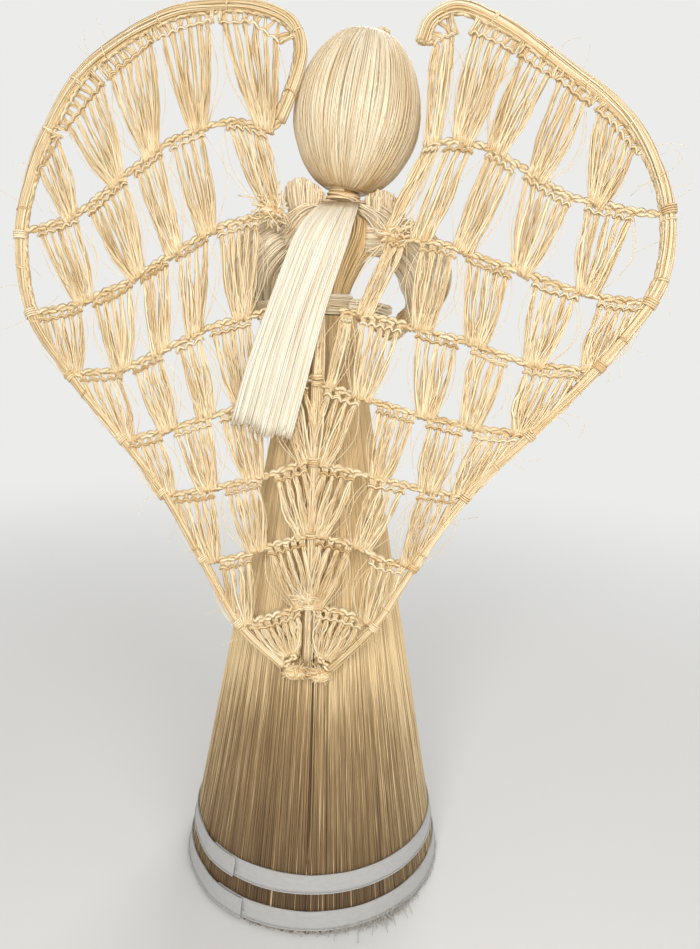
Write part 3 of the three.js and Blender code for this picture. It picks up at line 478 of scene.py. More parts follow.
def fibre_material(name, dark, middle, pale, warm, rough, streak_mm=(0.35, 9.0), bump=0.25, sheen=0.0,
                   spread=0.55):
    """Dried plant fibre: each strand's own tone, streaks along it, and a warm dark colour mixed in by each
    point's shade-and-stain value: painted shade where strands are gathered, cross or fold, and stain on some
    strands.
    """
    material, tree = new_material(name, Roughness=rough, Sheen_Weight=sheen, Sheen_Roughness=0.4)
    lay = kept(tree, "lay", "Vector")
    streak = noise(tree, lay, (1 / (streak_mm[0] * MM), 1 / (streak_mm[1] * MM), 1), 3.0, 0.6)
    toned = maths(tree, "MULTIPLY_ADD", kept(tree, "tone"), spread, streak)
    patched = maths(tree, "MULTIPLY_ADD", noise(tree, lay, (120, 60, 1), 2.0), 0.4, toned)
    centred = maths(tree, "SUBTRACT", patched, 0.2 + spread / 2)
    colours = add(tree, "ValToRGB", {"Fac": centred}, "Color")
    stops = colours.node.color_ramp.elements
    for stop, place, colour in ((stops[0], 0.22, dark), (stops[1], 0.78, pale)):
        stop.position = place
        stop.color = (*colour, 1)
    stops.new(0.5).color = (*middle, 1)
    patchy = add(tree, "MapRange", {"Value": streak, "To Min": rough - 0.12, "To Max": rough + 0.14})
    # The warm colour goes in as painted shade, and as stain, by each point's value.
    surface(tree, mixed(tree, kept(tree, "warm"), colours, (*warm, 1)), streak, bump, Roughness=patchy)
    return material


def woven_material(name, colour, shade, soil):
    """Ribbon: a fine over-and-under weave, mottled, and soiled where its points' shade-and-stain value is high.
    """
    material, tree = new_material(name, Roughness=0.55, Sheen_Weight=0.25)
    lay = kept(tree, "lay", "Vector")
    split = add(tree, "SeparateXYZ", {0: lay}).node
    waves = [maths(tree, "SINE", maths(tree, "MULTIPLY", split.outputs[axis], TURN / pitch))
             for axis, pitch in (("X", 0.55 * MM), ("Y", 0.45 * MM))]
    mottle = noise(tree, lay, (300, 900, 1), 4.0, 0.65)
    height = maths(tree, "ADD", maths(tree, "MULTIPLY", *waves), mottle)
    colours = mixed(tree, mottle, (*shade, 1), (*colour, 1))
    surface(tree, mixed(tree, kept(tree, "warm"), colours, (*soil, 1)), height, 0.35, 0.12 * MM)
    return material


def plain_material(name, colour, shade, rough, grain_mm, metal=0.0, bump=0.2):
    """A grained surface for what mostly lies inside: card, foam and wire."""
    material, tree = new_material(name, Roughness=rough, Metallic=metal)
    grain = noise(tree, add(tree, "TexCoord", {}, "Object"), 1 / (grain_mm * MM), 4.0, 0.6)
    surface(tree, mixed(tree, grain, (*shade, 1), (*colour, 1)), grain, bump)
    return material


# Each fibre: its dark, middle and pale tones, then the warm colour of its painted shade and stain.
LACE = fibre_material("lace_fibre", (0.56, 0.35, 0.14), (0.84, 0.64, 0.36), (0.94, 0.82, 0.58),
                      (0.66, 0.38, 0.12), rough=0.33, bump=0.12)
HAIR = fibre_material("hair_fibre", (0.56, 0.37, 0.16), (0.8, 0.63, 0.39), (0.94, 0.84, 0.64),
                      (0.62, 0.37, 0.12), rough=0.27, streak_mm=(0.3, 14.0), bump=0.14)
TAIL = fibre_material("tail_fibre", (0.72, 0.56, 0.34), (0.85, 0.76, 0.58), (0.94, 0.89, 0.77),
                      (0.58, 0.38, 0.17), rough=0.34, streak_mm=(0.35, 20.0), bump=0.12)
SLEEVE = fibre_material("sleeve_fibre", (0.76, 0.54, 0.3), (0.95, 0.78, 0.53), (0.98, 0.9, 0.7),
                        (0.7, 0.45, 0.2), rough=0.4, bump=0.12)
BODICE = fibre_material("bodice_fibre", (0.54, 0.33, 0.12), (0.82, 0.57, 0.26), (0.93, 0.72, 0.4),
                        (0.5, 0.3, 0.1), rough=0.42)
SKIRT = fibre_material("skirt_fibre", (0.21, 0.128, 0.052), (0.37, 0.24, 0.108), (0.92, 0.71, 0.4),
                       (0.09, 0.05, 0.02), rough=0.42, streak_mm=(0.3, 30.0), spread=0.36, sheen=0.06)
THREAD = fibre_material("binding_thread", (0.66, 0.43, 0.19), (0.87, 0.68, 0.41), (0.95, 0.84, 0.61),
                        (0.62, 0.36, 0.12), rough=0.45, streak_mm=(0.2, 2.0))
# The ribbon's greys are set darker than its own pale grey: painted shade for the dimmer light low on the skirt.
RIBBON = woven_material("woven_ribbon", (0.52, 0.52, 0.51), (0.375, 0.375, 0.365), (0.5, 0.4, 0.28))
CARD = plain_material("kraft_card", (0.4, 0.26, 0.15), (0.2, 0.12, 0.06), 0.85, grain_mm=0.8)
FOAM = plain_material("foam_ball", (0.8, 0.78, 0.72), (0.7, 0.68, 0.62), 0.9, grain_mm=1.2, bump=0.5)
WIRE = plain_material("plain_wire", (0.5, 0.49, 0.47), (0.36, 0.34, 0.31), 0.4, metal=1.0, grain_mm=0.6)

for name, material in {"skirt_card_cone": CARD, "head_ball": FOAM, "spine_wire": WIRE, "arm_wire": WIRE,
                       "wing_left_rim_wire": WIRE, "wing_right_rim_wire": WIRE}.items():
    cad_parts[name].data.materials.clear()
    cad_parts[name].data.materials.append(material)


# Skirt

def wrap_radius(height):
    return BASE_RADIUS - (BASE_RADIUS - SKIRT_TOP_RADIUS) * np.asarray(height) / SKIRT_HEIGHT


def on_cone(turn, height, lift):
    radius = wrap_radius(height) + lift
    return oval(turn, radius, radius, height)


def build_skirt():
    wrap = Strands()
    heights = np.linspace(SKIRT_FOOT, SKIRT_HEIGHT, 60)[:, None]
    turns = np.linspace(0, TURN, 720, endpoint=False)[None, :]
    lift = -0.25 * MM + 0.12 * MM * uneven(turns * 260 / TURN, np.arange(262), -1, 1)
    skins = [on_cone(turns, heights, lift), on_cone(turns, heights, -1.15 * MM)[::-1]]
    lay = points_of(turns * BASE_RADIUS, heights)
    # The skin under the fibres is paler higher up too: painted light against the wings' shadow.
    pale = 0.5 + 1.3 * smooth_step(heights, *SKIRT_PAINTED_LIGHT_HEIGHTS)
    wrap.lay_skin(np.concatenate(skins), np.concatenate([lay, lay[::-1]]),
                  tone=np.concatenate([pale, pale[::-1]]), warm=0.1, joined=True)
    lay_skirt_fibres(wrap, strips=420, steps=30)
    lay_split_shade(wrap, steps=30)
    wrap.build("skirt_fibres", SKIRT, "root", "skirt_fibre", "skirt_fibre_wrap")


def lay_skirt_fibres(wrap, strips, steps):
    """The upright fibres, which part at the split. They are darker low down, which is painted shade, and paler
    towards both sides, which is painted sheen; they are also paler higher up, which is painted light.
    """
    turn = (np.arange(strips)[:, None] + each(-0.35, 0.35, strips)) * TURN / strips
    foot = SKIRT_FOOT + each(-0.2, 0.9, strips) * MM
    share = ramp(steps)
    height = foot + (SKIRT_HEIGHT - foot) * share
    drift = wobble(strips, steps, math.radians(0.35))
    drift = drift + random.normal(0, math.radians(0.5), (strips, 1)) * share
    bent = turn + drift
    apart = (bent - SPLIT_TURN + math.pi) % TURN - math.pi
    reach = smooth_step(height, SPLIT_LOW - 8 * MM, SPLIT_LOW + 8 * MM) * (
        1 - smooth_step(height, SPLIT_HIGH - 25 * MM, SPLIT_HIGH))
    bent = bent + np.sign(apart) * np.maximum(0, SPLIT_HALF - np.abs(apart)) * reach
    paths = on_cone(bent, height, each(-0.1, 0.12, strips) * MM + wobble(strips, steps, 0.05 * MM))
    half = wrap_radius(height) * TURN / strips * each(0.42, 0.75, strips)
    facing = outward(bent) + points_of(-np.sin(bent), np.cos(bent)) * random.normal(0, 0.1, (strips, 1, 1))
    # Painted sheen: paler towards both sides, with less painted shade there.
    painted_side_sheen = np.abs(np.cos(turn)) ** 3
    # Paler higher up: painted light against the wings' shadow. The random terms are the strands' own tone.
    tone = (0.6 * random.beta(2, 2, (strips, 1)) + 1.9 * smooth_step(height, *SKIRT_PAINTED_LIGHT_HEIGHTS) + 0.8 * painted_side_sheen
            + uneven(turn, np.linspace(0, TURN, 24), -0.25, 0.1))
    # Painted shade, darker low down and darkest near the foot. The random terms are the strands' own darker
    # tone.
    shade = (0.66 * (1 - smooth_step(height, 6 * MM, 66 * MM)) + 0.1 * each(0, 1, strips)
             + 0.2 * (1 - smooth_step(height, 14 * MM, 24 * MM)) + 0.3 * (each(0, 1, strips) > 0.96))
    shade = np.clip(shade * (1 - 0.5 * painted_side_sheen), 0, 0.95)
    wrap.lay_strands(paths, facing, half, 0.14 * MM, tone=tone, warm=shade)


def lay_split_shade(wrap, steps):
    """A dark strand of painted shade that shows where the fibres part."""
    height = np.linspace(SPLIT_LOW, SPLIT_HIGH, steps)[None, :]
    turn = SPLIT_TURN + wobble(1, steps, math.radians(0.12))
    wide = smooth_step(height, SPLIT_LOW, SPLIT_LOW + 20 * MM)
    wide = wide * (1 - smooth_step(height, 60 * MM, SPLIT_HIGH))
    wrap.lay_strands(on_cone(turn, height, -0.12 * MM), (0, -1, 0.2), (0.15 + 0.35 * wide) * MM, 0.1 * MM,
                     tone=0, warm=0.9)


def build_ribbon(name):
    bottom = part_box(f"hem_ribbon_{name}")[0].z
    ribbon = Strands()
    steps, across = 460, 7
    turn = RIBBON_LAP_TURNS[name] + np.linspace(0, TURN + RIBBON_LAP, steps)[:, None]
    rise = (RIBBON_THICKNESS + RIBBON_GAP) * smooth_step(turn - turn[0], TURN - 0.3, TURN)
    ripple, edge = (np.interp(np.linspace(0, waves, steps), np.arange(waves + 1),
                              random.normal(0, size, waves + 1))[:, None] * MM
                    for waves, size in ((60, 0.07), (45, 0.12)))
    share = np.linspace(0, 1, across)
    up = np.concatenate([share, share[::-1]])
    thick = np.concatenate([np.full(across, 0.2 * MM), np.zeros(across)])
    bulge = np.concatenate([0.16 * np.cos(TURN * share) ** 2 * MM, np.zeros(across)])
    height = bottom + up * RIBBON_WIDTH + edge * (up - 0.3)
    radius = wrap_radius(height) + RIBBON_GAP + rise + ripple * up + thick + bulge
    rings = oval(turn, radius, radius, height)
    ribbon.lay_skin(rings[:, ::-1], points_of(turn * BASE_RADIUS, height))
    radius = wrap_radius(height) + RIBBON_GAP + rise + 0.42 * MM
    selvedges = oval(turn, radius, radius, height)
    for at in (0, across - 1):
        ribbon.lay_strands(selvedges[:, at], outward(turn[:, 0]), 0.2 * MM, 0.2 * MM, tone=0.8, sides=6)
    for end in (0, -1):
        fray_ends(ribbon, turn[end, 0], bottom, count=30)
    if name == "lower":
        fray_hem(ribbon, bottom, count=900, mess=380)
    ribbon.build(f"ribbon_{name}", RIBBON, "root", "ribbon", f"hem_ribbon_{name}")


def fray_ends(ribbon, turn, bottom, count):
    """Short threads that stand out of a ribbon's cut end."""
    height = bottom + random.uniform(0.3, 6.0, count) * MM
    start = on_cone(turn, height, random.uniform(0.4, 1.0, count) * MM)
    along = np.array([-math.sin(turn), math.cos(turn), 0]) * (each(-1.4, 1.4, count) * MM)
    out = np.array([math.cos(turn), math.sin(turn), 0]) * each(0, 0.4, count) * MM
    end = start + along + out + scatter(count, 0.25)
    middle = (start + end) / 2 + scatter(count, 0.12)
    ribbon.lay_strands(through([start, middle, end], 6), (0, 0, 1), 0.09 * MM, 0.07 * MM)


def fray_hem(ribbon, bottom, count, mess):
    """The hem's ragged lower edge, with more and longer loose threads towards the right of the back."""
    turn = random.uniform(0, TURN, count)
    turn[:mess] = random.normal(HEM_MESS_TURN, math.radians(20), mess)
    more = np.exp(-((turn - HEM_MESS_TURN) / math.radians(24)) ** 2)
    height = bottom + random.uniform(-0.2, 0.9, count) * MM
    start = on_cone(turn, height, random.uniform(0.1, 0.7, count) * MM)
    down = random.uniform(0.3, 1.0, count) * (height - 0.15 * MM)
    along = random.normal(0, 0.9, count) * (1 + more) * MM
    out = random.exponential(0.35, count) * (1 + 2.2 * more) * MM
    end = start + points_of(np.cos(turn) * out - np.sin(turn) * along,
                            np.sin(turn) * out + np.cos(turn) * along, -down)
    end[:, 2] = np.maximum(end[:, 2], HEM_CLEARANCE)
    middle = (start + end) / 2 + scatter(count, 0.2)
    middle[:, 2] = np.maximum(middle[:, 2], HEM_CLEARANCE)
    ribbon.lay_strands(through([start, middle, end], 6), (0, 0, 1), 0.1 * MM, 0.07 * MM,
                       warm=each(0, 0.5, count))


# Body

def body_middle(height):
    share = smooth_step(height, LEAN_START, NECK.z)
    return points_of(NECK.x * share, NECK.y * share, height)


def body_half(height):
    """The bundle's half width and half depth at a height."""
    share = (np.asarray(height) - SASH_HIGH) / (NECK.z - SASH_HIGH)
    swell = read_off(CHEST_SHARES, share)
    least = WAIST_RADIUS + (NECK_RADIUS - WAIST_RADIUS) * np.clip(share, 0, 1)
    return least + (CHEST_HALF[0] - least) * swell, least + (CHEST_HALF[1] - least) * swell


def build_bodice():
    body = Strands()
    heights = np.concatenate([np.linspace(SKIRT_HEIGHT - 3 * MM, SASH_HIGH, 6)[:-1],
                              np.linspace(SASH_HIGH, NECK.z, 26)])[:, None]
    turns = np.linspace(0, TURN, 160, endpoint=False)[None, :]
    wide, deep = body_half(heights)
    ridge = uneven(turns * 160 / TURN, np.arange(161), -1, 1) * 0.2 * MM - 0.3 * MM
    skin = body_middle(heights) + oval(turns, wide + ridge, deep + ridge)
    body.lay_skin(skin, points_of(turns * WAIST_RADIUS, heights), tone=0.6, warm=0.1)
    strips, steps = 150, 26
    turn = each(0, TURN, strips) + wobble(strips, steps, 0.05)
    height = np.linspace(SKIRT_HEIGHT, NECK.z, steps)[None, :]
    wide, deep = body_half(height)
    lift = each(-0.2, 0.25, strips) * MM
    paths = body_middle(height) + oval(turn, wide + lift, deep + lift)
    body.lay_strands(paths, outward(turn), 0.45 * MM, 0.1 * MM, tone=each(0.3, 1, strips))
    stub = splines(np.array([[NECK - Vector((0, 0, 1)) * MM, (Vector(HEAD_FOOT) + NECK) / 2, HEAD_FOOT]]), 8)
    body.lay_strands(stub, (0, -1, 0), NECK_RADIUS - 0.3 * MM, NECK_RADIUS - 0.3 * MM, sides=6, warm=0.4)
    body.build("bodice_fibres", BODICE, "root", "bodice_fibre", "bodice_bundle")


def build_sash():
    sash = Strands()
    strips, steps = 26, 64
    turn = np.linspace(0, TURN, steps)[None, :]
    level = np.linspace(SASH_LOW + 0.3 * MM, SASH_HIGH - 0.3 * MM, strips)[:, None]
    height = level + wobble(strips, steps, 0.25 * MM)
    radius = SASH_RADIUS - 0.35 * MM + each(-0.35, 0.25, strips) * MM + wobble(strips, steps, 0.08 * MM)
    height[:, -1], radius[:, -1] = height[:, 0], radius[:, 0]
    facing = outward(turn) + sway(strips, 0.15)
    sash.lay_strands(oval(turn, radius, radius, height), facing, 0.36 * MM, 0.12 * MM,
                     tone=each(0.5, 1.1, strips))
    sash.build("sash_band", SLEEVE, "root", "hair_fibre", "waist_sash")


def build_sash_tail(name, side):
    low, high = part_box(f"sash_tail_{name}")
    start_x, end_x = (low.x, high.x) if side > 0 else (high.x, low.x)
    tail = Strands()
    strips, steps = 34, 12
    spread = np.linspace(-1, 1, strips)[:, None]
    share = ramp(steps) * each(0.86, 1.0, strips)
    x = start_x + (end_x - start_x) * share
    y = (low.y + high.y) / 2 + each(-0.7, 0.7, strips) * MM + 0.5 * MM * np.sin(3 * share + spread)
    z = high.z - 2.3 * MM - 3 * MM * share ** 1.6 + spread * (1.5 + 1.4 * share) * MM
    z = z + wobble(strips, steps, 0.15 * MM)
    tail.lay_strands(points_of(x, y, z), (0, -1, 0.2), 0.34 * MM, 0.08 * MM, tone=each(0.5, 1.1, strips))
    tail.build(f"sash_end_{name}", SLEEVE, "root", "hair_fibre", f"sash_tail_{name}")


# Windings

def wind(strands, foot, up, radius, loops, rise, ply, plies=3, start=0.0, warm=0.15, jitter=0.1):
    """Winds a bundle of strands round an axis: one unbroken run of loops, rise apart."""
    up = np.asarray(up, float) / np.linalg.norm(up)
    across = unit(np.cross(up, (0.3, 0.9, 0.1)))
    steps = int(loops * 20) + 1
    turn = np.linspace(start, start + TURN * loops, steps)
    away = about(turn, across, np.cross(up, across))
    lines = []
    for _ in range(plies):
        lift = random.uniform(-0.5, 0.5) * ply + wobble(1, steps, jitter * ply)[0]
        level = (turn - start) / TURN * rise + random.uniform(-0.6, 0.6) * ply
        level = level + wobble(1, steps, jitter * ply)[0]
        lines.append(np.asarray(foot) + away * (radius + lift)[:, None] + level[:, None] * up)
    strands.lay_strands(np.array(lines), away, ply, ply * 0.55, warm=warm)


def ball_of_thread(strands, centre, radii, loops, thread=0.28 * MM, warm=0.2):
    """A knot: loops that run round a small ball at odd slants."""
    turn = np.linspace(0, TURN, 26)
    faces = []
    for _ in range(loops):
        pole = unit(random.normal(0, 1, 3))
        a = unit(np.cross(pole, random.normal(0, 1, 3)))
        b = np.cross(pole, a)
        tip = random.uniform(-0.45, 0.45)
        size = math.sqrt(1 - tip * tip) * random.uniform(0.86, 1.04)
        faces.append(np.cos(turn)[:, None] * a * size + np.sin(turn)[:, None] * b * size + pole * tip)
    faces = np.array(faces)
    lines = np.asarray(centre) + faces * np.asarray(radii)
    strands.lay_strands(lines, faces, thread, thread * 0.6, warm=warm)


# Head

PROFILE = even(splines(np.array([HEAD_SHARES]), 90)[0], 60)


def profile_at(share, axis):
    return np.interp(share, np.linspace(0, 1, len(PROFILE)), PROFILE[:, axis])


def on_head(turn, share, lift):
    """The point on the head at a turn about its axis and a share of the way from neck to crown."""
    out = profile_at(share, 0) * HEAD_WIDTH / 2 + lift
    up = profile_at(share, 1) * HEAD_HEIGHT
    flat = oval(turn, out, out, up)
    return HEAD_FOOT + flat[..., :1] * HEAD_ACROSS + flat[..., 1:2] * FORWARD + flat[..., 2:] * HEAD_UP


def build_head():
    head = Strands()
    share = np.linspace(0, 1, 60)[:, None]
    turn = np.linspace(0, TURN, 300, endpoint=False)[None, :]
    ridge = uneven(turn * 150 / TURN, np.arange(151), -1, 1)
    lift = (-0.3 + 0.05 * ridge) * MM * np.sin(math.pi * np.clip(share, 0.04, 0.97)) ** 0.5
    lay = points_of(turn * HEAD_WIDTH / 2, share * HEAD_HEIGHT)
    head.lay_skin(on_head(turn, share, lift), lay, tone=0.6, warm=0.1)
    for layer, strips in enumerate((430, 380)):
        steps = 34
        turn = each(0, TURN, strips)
        share = ramp(steps) * each(0.93, 1.0, strips)
        swing = random.normal(0, 0.08, (strips, 1)) * np.sin(math.pi * share) + wobble(strips, steps, 0.012)
        lift = (-0.2 + 0.14 * layer + each(-0.06, 0.08, strips)) * MM + wobble(strips, steps, 0.03 * MM)
        paths = on_head(turn + swing, share, lift)
        out = unit(paths - (HEAD_FOOT + HEAD_UP * HEAD_HEIGHT * 0.45))
        half = (0.1 + 0.24 * profile_at(share, 0) * each(0.6, 1.4, strips)) * MM
        # Painted shade where the hair tucks in under the head at the neck, and less at the crown's fold.
        tuck_shade = 0.9 * (1 - smooth_step(share, 0, 0.4)) + 0.4 * smooth_step(share, 0.9, 1)
        clump = uneven(turn, np.linspace(0, TURN, 30), -0.28, 0.28)
        head.lay_strands(paths, out + sway(strips, 0.05), half, 0.06 * MM,
                         tone=0.3 + 0.5 * random.beta(2.5, 2, (strips, 1)) + clump,
                         warm=tuck_shade * each(0, 1, strips) ** 1.5)
    crown_fold(head)
    head.build("head_of_hair", HAIR, "root", "hair_fibre", "head_hair")


def crown_fold(head):
    """The fold at the crown: short ends that lie across each other, and a small lump."""
    strips = 90
    share = ramp(10)
    turn = each(0, TURN, strips)
    down = 1 - share * each(0.06, 0.16, strips)
    lift = (0.15 + 0.5 * np.sin(np.linspace(0, math.pi, 10))[None, :] * each(0, 1, strips)) * MM
    twist = random.normal(0, 0.5, (strips, 1)) * share[:, ::-1]
    paths = on_head(turn + twist, down, lift)
    head.lay_strands(paths, (0, 0, 1), 0.3 * MM, 0.1 * MM, warm=each(0, 0.5, strips))
    ball_of_thread(head, on_head(-0.35, 0.94, 0.6 * MM), (2.6 * MM, 2.4 * MM, 1.3 * MM), loops=26,
                   warm=0.05)


def build_neck_tie():
    tie = Strands()
    foot = np.array(NECK) + HEAD_UP * 0.7 * MM
    wind(tie, foot + HEAD_UP * 0.3 * MM, HEAD_UP, NECK_RADIUS + 0.7 * MM, loops=2.3, rise=1.1 * MM,
         plies=9, ply=0.5 * MM, warm=0.08, jitter=0.7)
    wind(tie, foot + HEAD_UP * 0.9 * MM, HEAD_UP + HEAD_ACROSS * 0.12, NECK_RADIUS + 1.1 * MM, loops=1.4,
         rise=0.6 * MM, plies=5, ply=0.42 * MM, start=2.0, warm=0.1, jitter=0.8)
    tie.build("neck_winding", THREAD, "root", "binding_thread", "neck_tie")


# Shoulder ruffs: brushes of cut ends that stand on the shoulders, with tops that slope as the head leans

def build_ruff(name):
    low, high = (np.array(corner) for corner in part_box(f"ruff_{name}"))
    half = (high - low) / 2 * np.array([1.12, 1, 1])
    middle = (low + high) / 2 + np.array([-1.6 * MM if name == "left" else 0.4 * MM, 0, -0.8 * MM])
    ruff = Strands()
    strips, outer, steps = 760, 560, 9
    spin = each(0, TURN, strips)
    rim = np.sqrt(each(0.12, 1, strips))
    rim[:outer] = each(0.88, 1.02, outer)
    share = ramp(steps)
    fold = np.sin(RUFF_PLEATS * spin + 2 * np.sin(2 * spin))
    pleat = 1 + 0.05 * fold * share
    out = half[0] * rim * (0.82 + 0.18 * smooth_step(share, 0, 0.7)) * pleat * np.cos(spin)
    deep = half[1] * rim * (0.72 + 0.28 * share) * pleat * np.sin(spin)
    ragged = each(-1.6, 1.2, strips) * MM + 3.2 * MM * (np.cos(spin) * rim) ** 2
    top = high[2] - half[0] * math.sin(HEAD_TILT) * (1 + np.cos(spin) * rim) - ragged
    foot = low[2] + 0.8 * MM
    x = middle[0] + out * math.cos(HEAD_TILT) + wobble(strips, steps, 0.16 * MM)
    y = middle[1] + deep + wobble(strips, steps, 0.16 * MM)
    facing = outward(spin) + sway(strips, 0.3)
    # Painted shade in the pleats' inner folds, deeper towards the cut ends.
    dark = 0.12 + 0.3 * (fold < -0.7) * (0.4 + 0.6 * share)
    ruff.lay_strands(points_of(x, y, foot + (top - foot) * share), facing, 0.34 * MM, 0.1 * MM,
                     tone=0.35 + 0.5 * each(0, 1, strips), warm=dark * each(0.3, 1, strips))
    lay_cape(ruff, -1 if name == "left" else 1, middle, half, count=150)
    ruff.build(f"ruff_ends_{name}", SLEEVE, "root", "hair_fibre", f"ruff_{name}")


def lay_cape(ruff, side, middle, half, count):
    """The fibre that leaves the neck tie on one side and spreads down over the shoulder, under the ruff."""
    fan = random.uniform(0, 1, count)
    start = np.array(NECK) + np.array([side * 2.6, -3.2, 0]) * MM + scatter(count, 0.6)
    end = np.array([middle[0], middle[1], SHOULDER_HEIGHT]) + points_of(
        side * half[0] * (1.25 - 0.9 * fan), -half[1] - 1.2 * MM, (-3 - 9 * fan) * MM)
    end = end + scatter(count, 0.7)
    bulge = np.array([side * 1.5, -1.6, 1.8]) * MM + scatter(count, 0.5)
    paths = through([start, (start + end) / 2 + bulge, end], 9)
    ruff.lay_strands(paths, (side * 0.2, -1, 0.4), 0.3 * MM, 0.09 * MM, tone=each(0.3, 1, count),
                     warm=each(0, 0.25, count))


# Arms

def sleeve_line(side):
    places = [[body_middle(SHOULDER_HEIGHT)[0] + side * out * SLEEVE_OUT, forward * CUFF_FORWARD,
               SHOULDER_HEIGHT - SLEEVE_ROOT_RADIUS - down * (SLEEVE_DROP - SLEEVE_ROOT_RADIUS)]
              for out, down, forward in SLEEVE_SHARES]
    return even(splines(np.array([places]), 90)[0], 40)


def sleeve_pleat(turn):
    return np.sin(turn * SLEEVE_PLEATS + 0.6 * np.sin(3 * turn)) * 0.45 * MM


def build_sleeve(name, side):
    sleeve = Strands()
    line = sleeve_line(side)
    steps = len(line)
    _, across, deep = frames_along(line)
    share = np.linspace(0, 1, steps)
    radius = read_off(SLEEVE_RADII, share)
    radius = np.convolve(np.pad(radius, 3, mode="edge"), np.ones(7) / 7, mode="valid")
    turn = np.linspace(0, TURN, 120, endpoint=False)
    size = radius[:, None] - 0.55 * MM + sleeve_pleat(turn) * np.sin(math.pi * share)[:, None]
    skin = (line[:, None] + across[:, None] * (size * np.cos(turn))[..., None]
            + deep[:, None] * (size * np.sin(turn))[..., None])
    # The skin, and the strips below, take pale tones: painted light against the lace's shadow.
    sleeve.lay_skin(skin, points_of(turn * SLEEVE_ROOT_RADIUS, share[:, None] * SLEEVE_DROP), tone=0.8)
    strips = 240
    turn = each(0, TURN, strips) + wobble(strips, steps, 0.03)
    size = radius - 0.3 * MM + sleeve_pleat(turn) * np.sin(math.pi * share) + each(-0.1, 0.3, strips) * MM
    away = about(turn, across, deep)
    # Painted shade at the shoulder root and towards the cuff.
    dark = 0.1 * (1 - smooth_step(share, 0, 0.2)) + 0.35 * smooth_step(share, 0.8, 1)
    sleeve.lay_strands(line + away * size[..., None], away + sway(strips, 0.2), 0.34 * MM,
                       0.09 * MM, tone=each(0.4, 1.1, strips), warm=dark * each(0.3, 1, strips))
    sleeve.build(f"sleeve_fibres_{name}", SLEEVE, "root", "sleeve_fibre", f"sleeve_{name}")


def build_cuff_tie(name, side):
    line = sleeve_line(side)
    along = unit(line[-1] - line[-2])
    tie = Strands()
    wind(tie, line[-1] - along * 5 * MM, along, CUFF_RADIUS + 0.5 * MM, loops=3,
         rise=1.4 * MM, plies=4, ply=0.32 * MM)
    tie.build(f"cuff_winding_{name}", THREAD, "root", "binding_thread", f"cuff_tie_{name}")


def build_hand(name, side):
    line = sleeve_line(side)
    along = unit(line[-1] - line[-2])
    start = line[-1] + along * 0.3 * MM
    meeting = np.array([body_middle(SHOULDER_HEIGHT)[0] + side * HAND_RADIUS * 0.7, HAND_REACH,
                        start[2] + HAND_RADIUS])
    bend = start + along * CUFF_FORWARD / 2
    path = even(splines(np.array([[start, bend, start + (meeting - start) * 0.6, meeting]]), 60)[0], 18)
    _, across, deep = frames_along(path)
    share = np.linspace(0, 1, 18)
    radii = ((0, CUFF_RADIUS), (0.3, HAND_RADIUS * 0.8), (0.75, HAND_RADIUS), (1, HAND_RADIUS * 0.4))
    swell = read_off(radii, share)
    hand = Strands()
    strips = 70
    turn = each(0, TURN, strips) + 0.8 * share
    size = swell * np.sqrt(each(0.35, 1, strips))
    away = about(turn, across, deep)
    hand.lay_strands(path + away * size[..., None], away, 0.42 * MM, 0.16 * MM, warm=0.15)
    hand.lay_strands(path, (0, 0, 1), swell * 0.72, swell * 0.72, tone=0.4, warm=0.4, sides=6)
    hand.build(f"hand_bundle_{name}", SLEEVE, "root", "sleeve_fibre", f"hand_{name}")


# Hair tail

def wing_plane(up):
    """Where the wings' plane is, forward, at a height above their tips."""
    return WING_LEAN_SHARE * up - WING_BACK


def tail_place(across, down):
    """The point on the hair tail at a place across, -1 to 1, and a share of its length down."""
    height = TAIL_TOP.z - down * TAIL_LENGTH
    shares = sum(read_off(TAIL_HALF_SHARES, np.clip(down + step, 0, 1)) for step in (-0.05, 0, 0.05))
    half = TAIL_HALF_WIDTH * shares / 3
    lying = wing_plane(height - WING_TIP_HEIGHT) - TAIL_OFF_WING
    back = 1 - np.clip(1 - down / TAIL_LAID_SHARE, 0, 1) ** 2.2
    bow = TAIL_BOW * np.sin(math.pi * np.clip(down, 0, 1))
    x = TAIL_TOP.x - math.tan(TAIL_LEAN) * down * TAIL_LENGTH - bow
    y = TAIL_TOP.y + (lying - TAIL_TOP.y) * back
    crown = 0.9 * MM * (1 - across ** 2) * np.clip(down * 5, 0, 1)
    return points_of(x + across * half, y - crown, height - math.sin(TAIL_LEAN) * across * half * back)


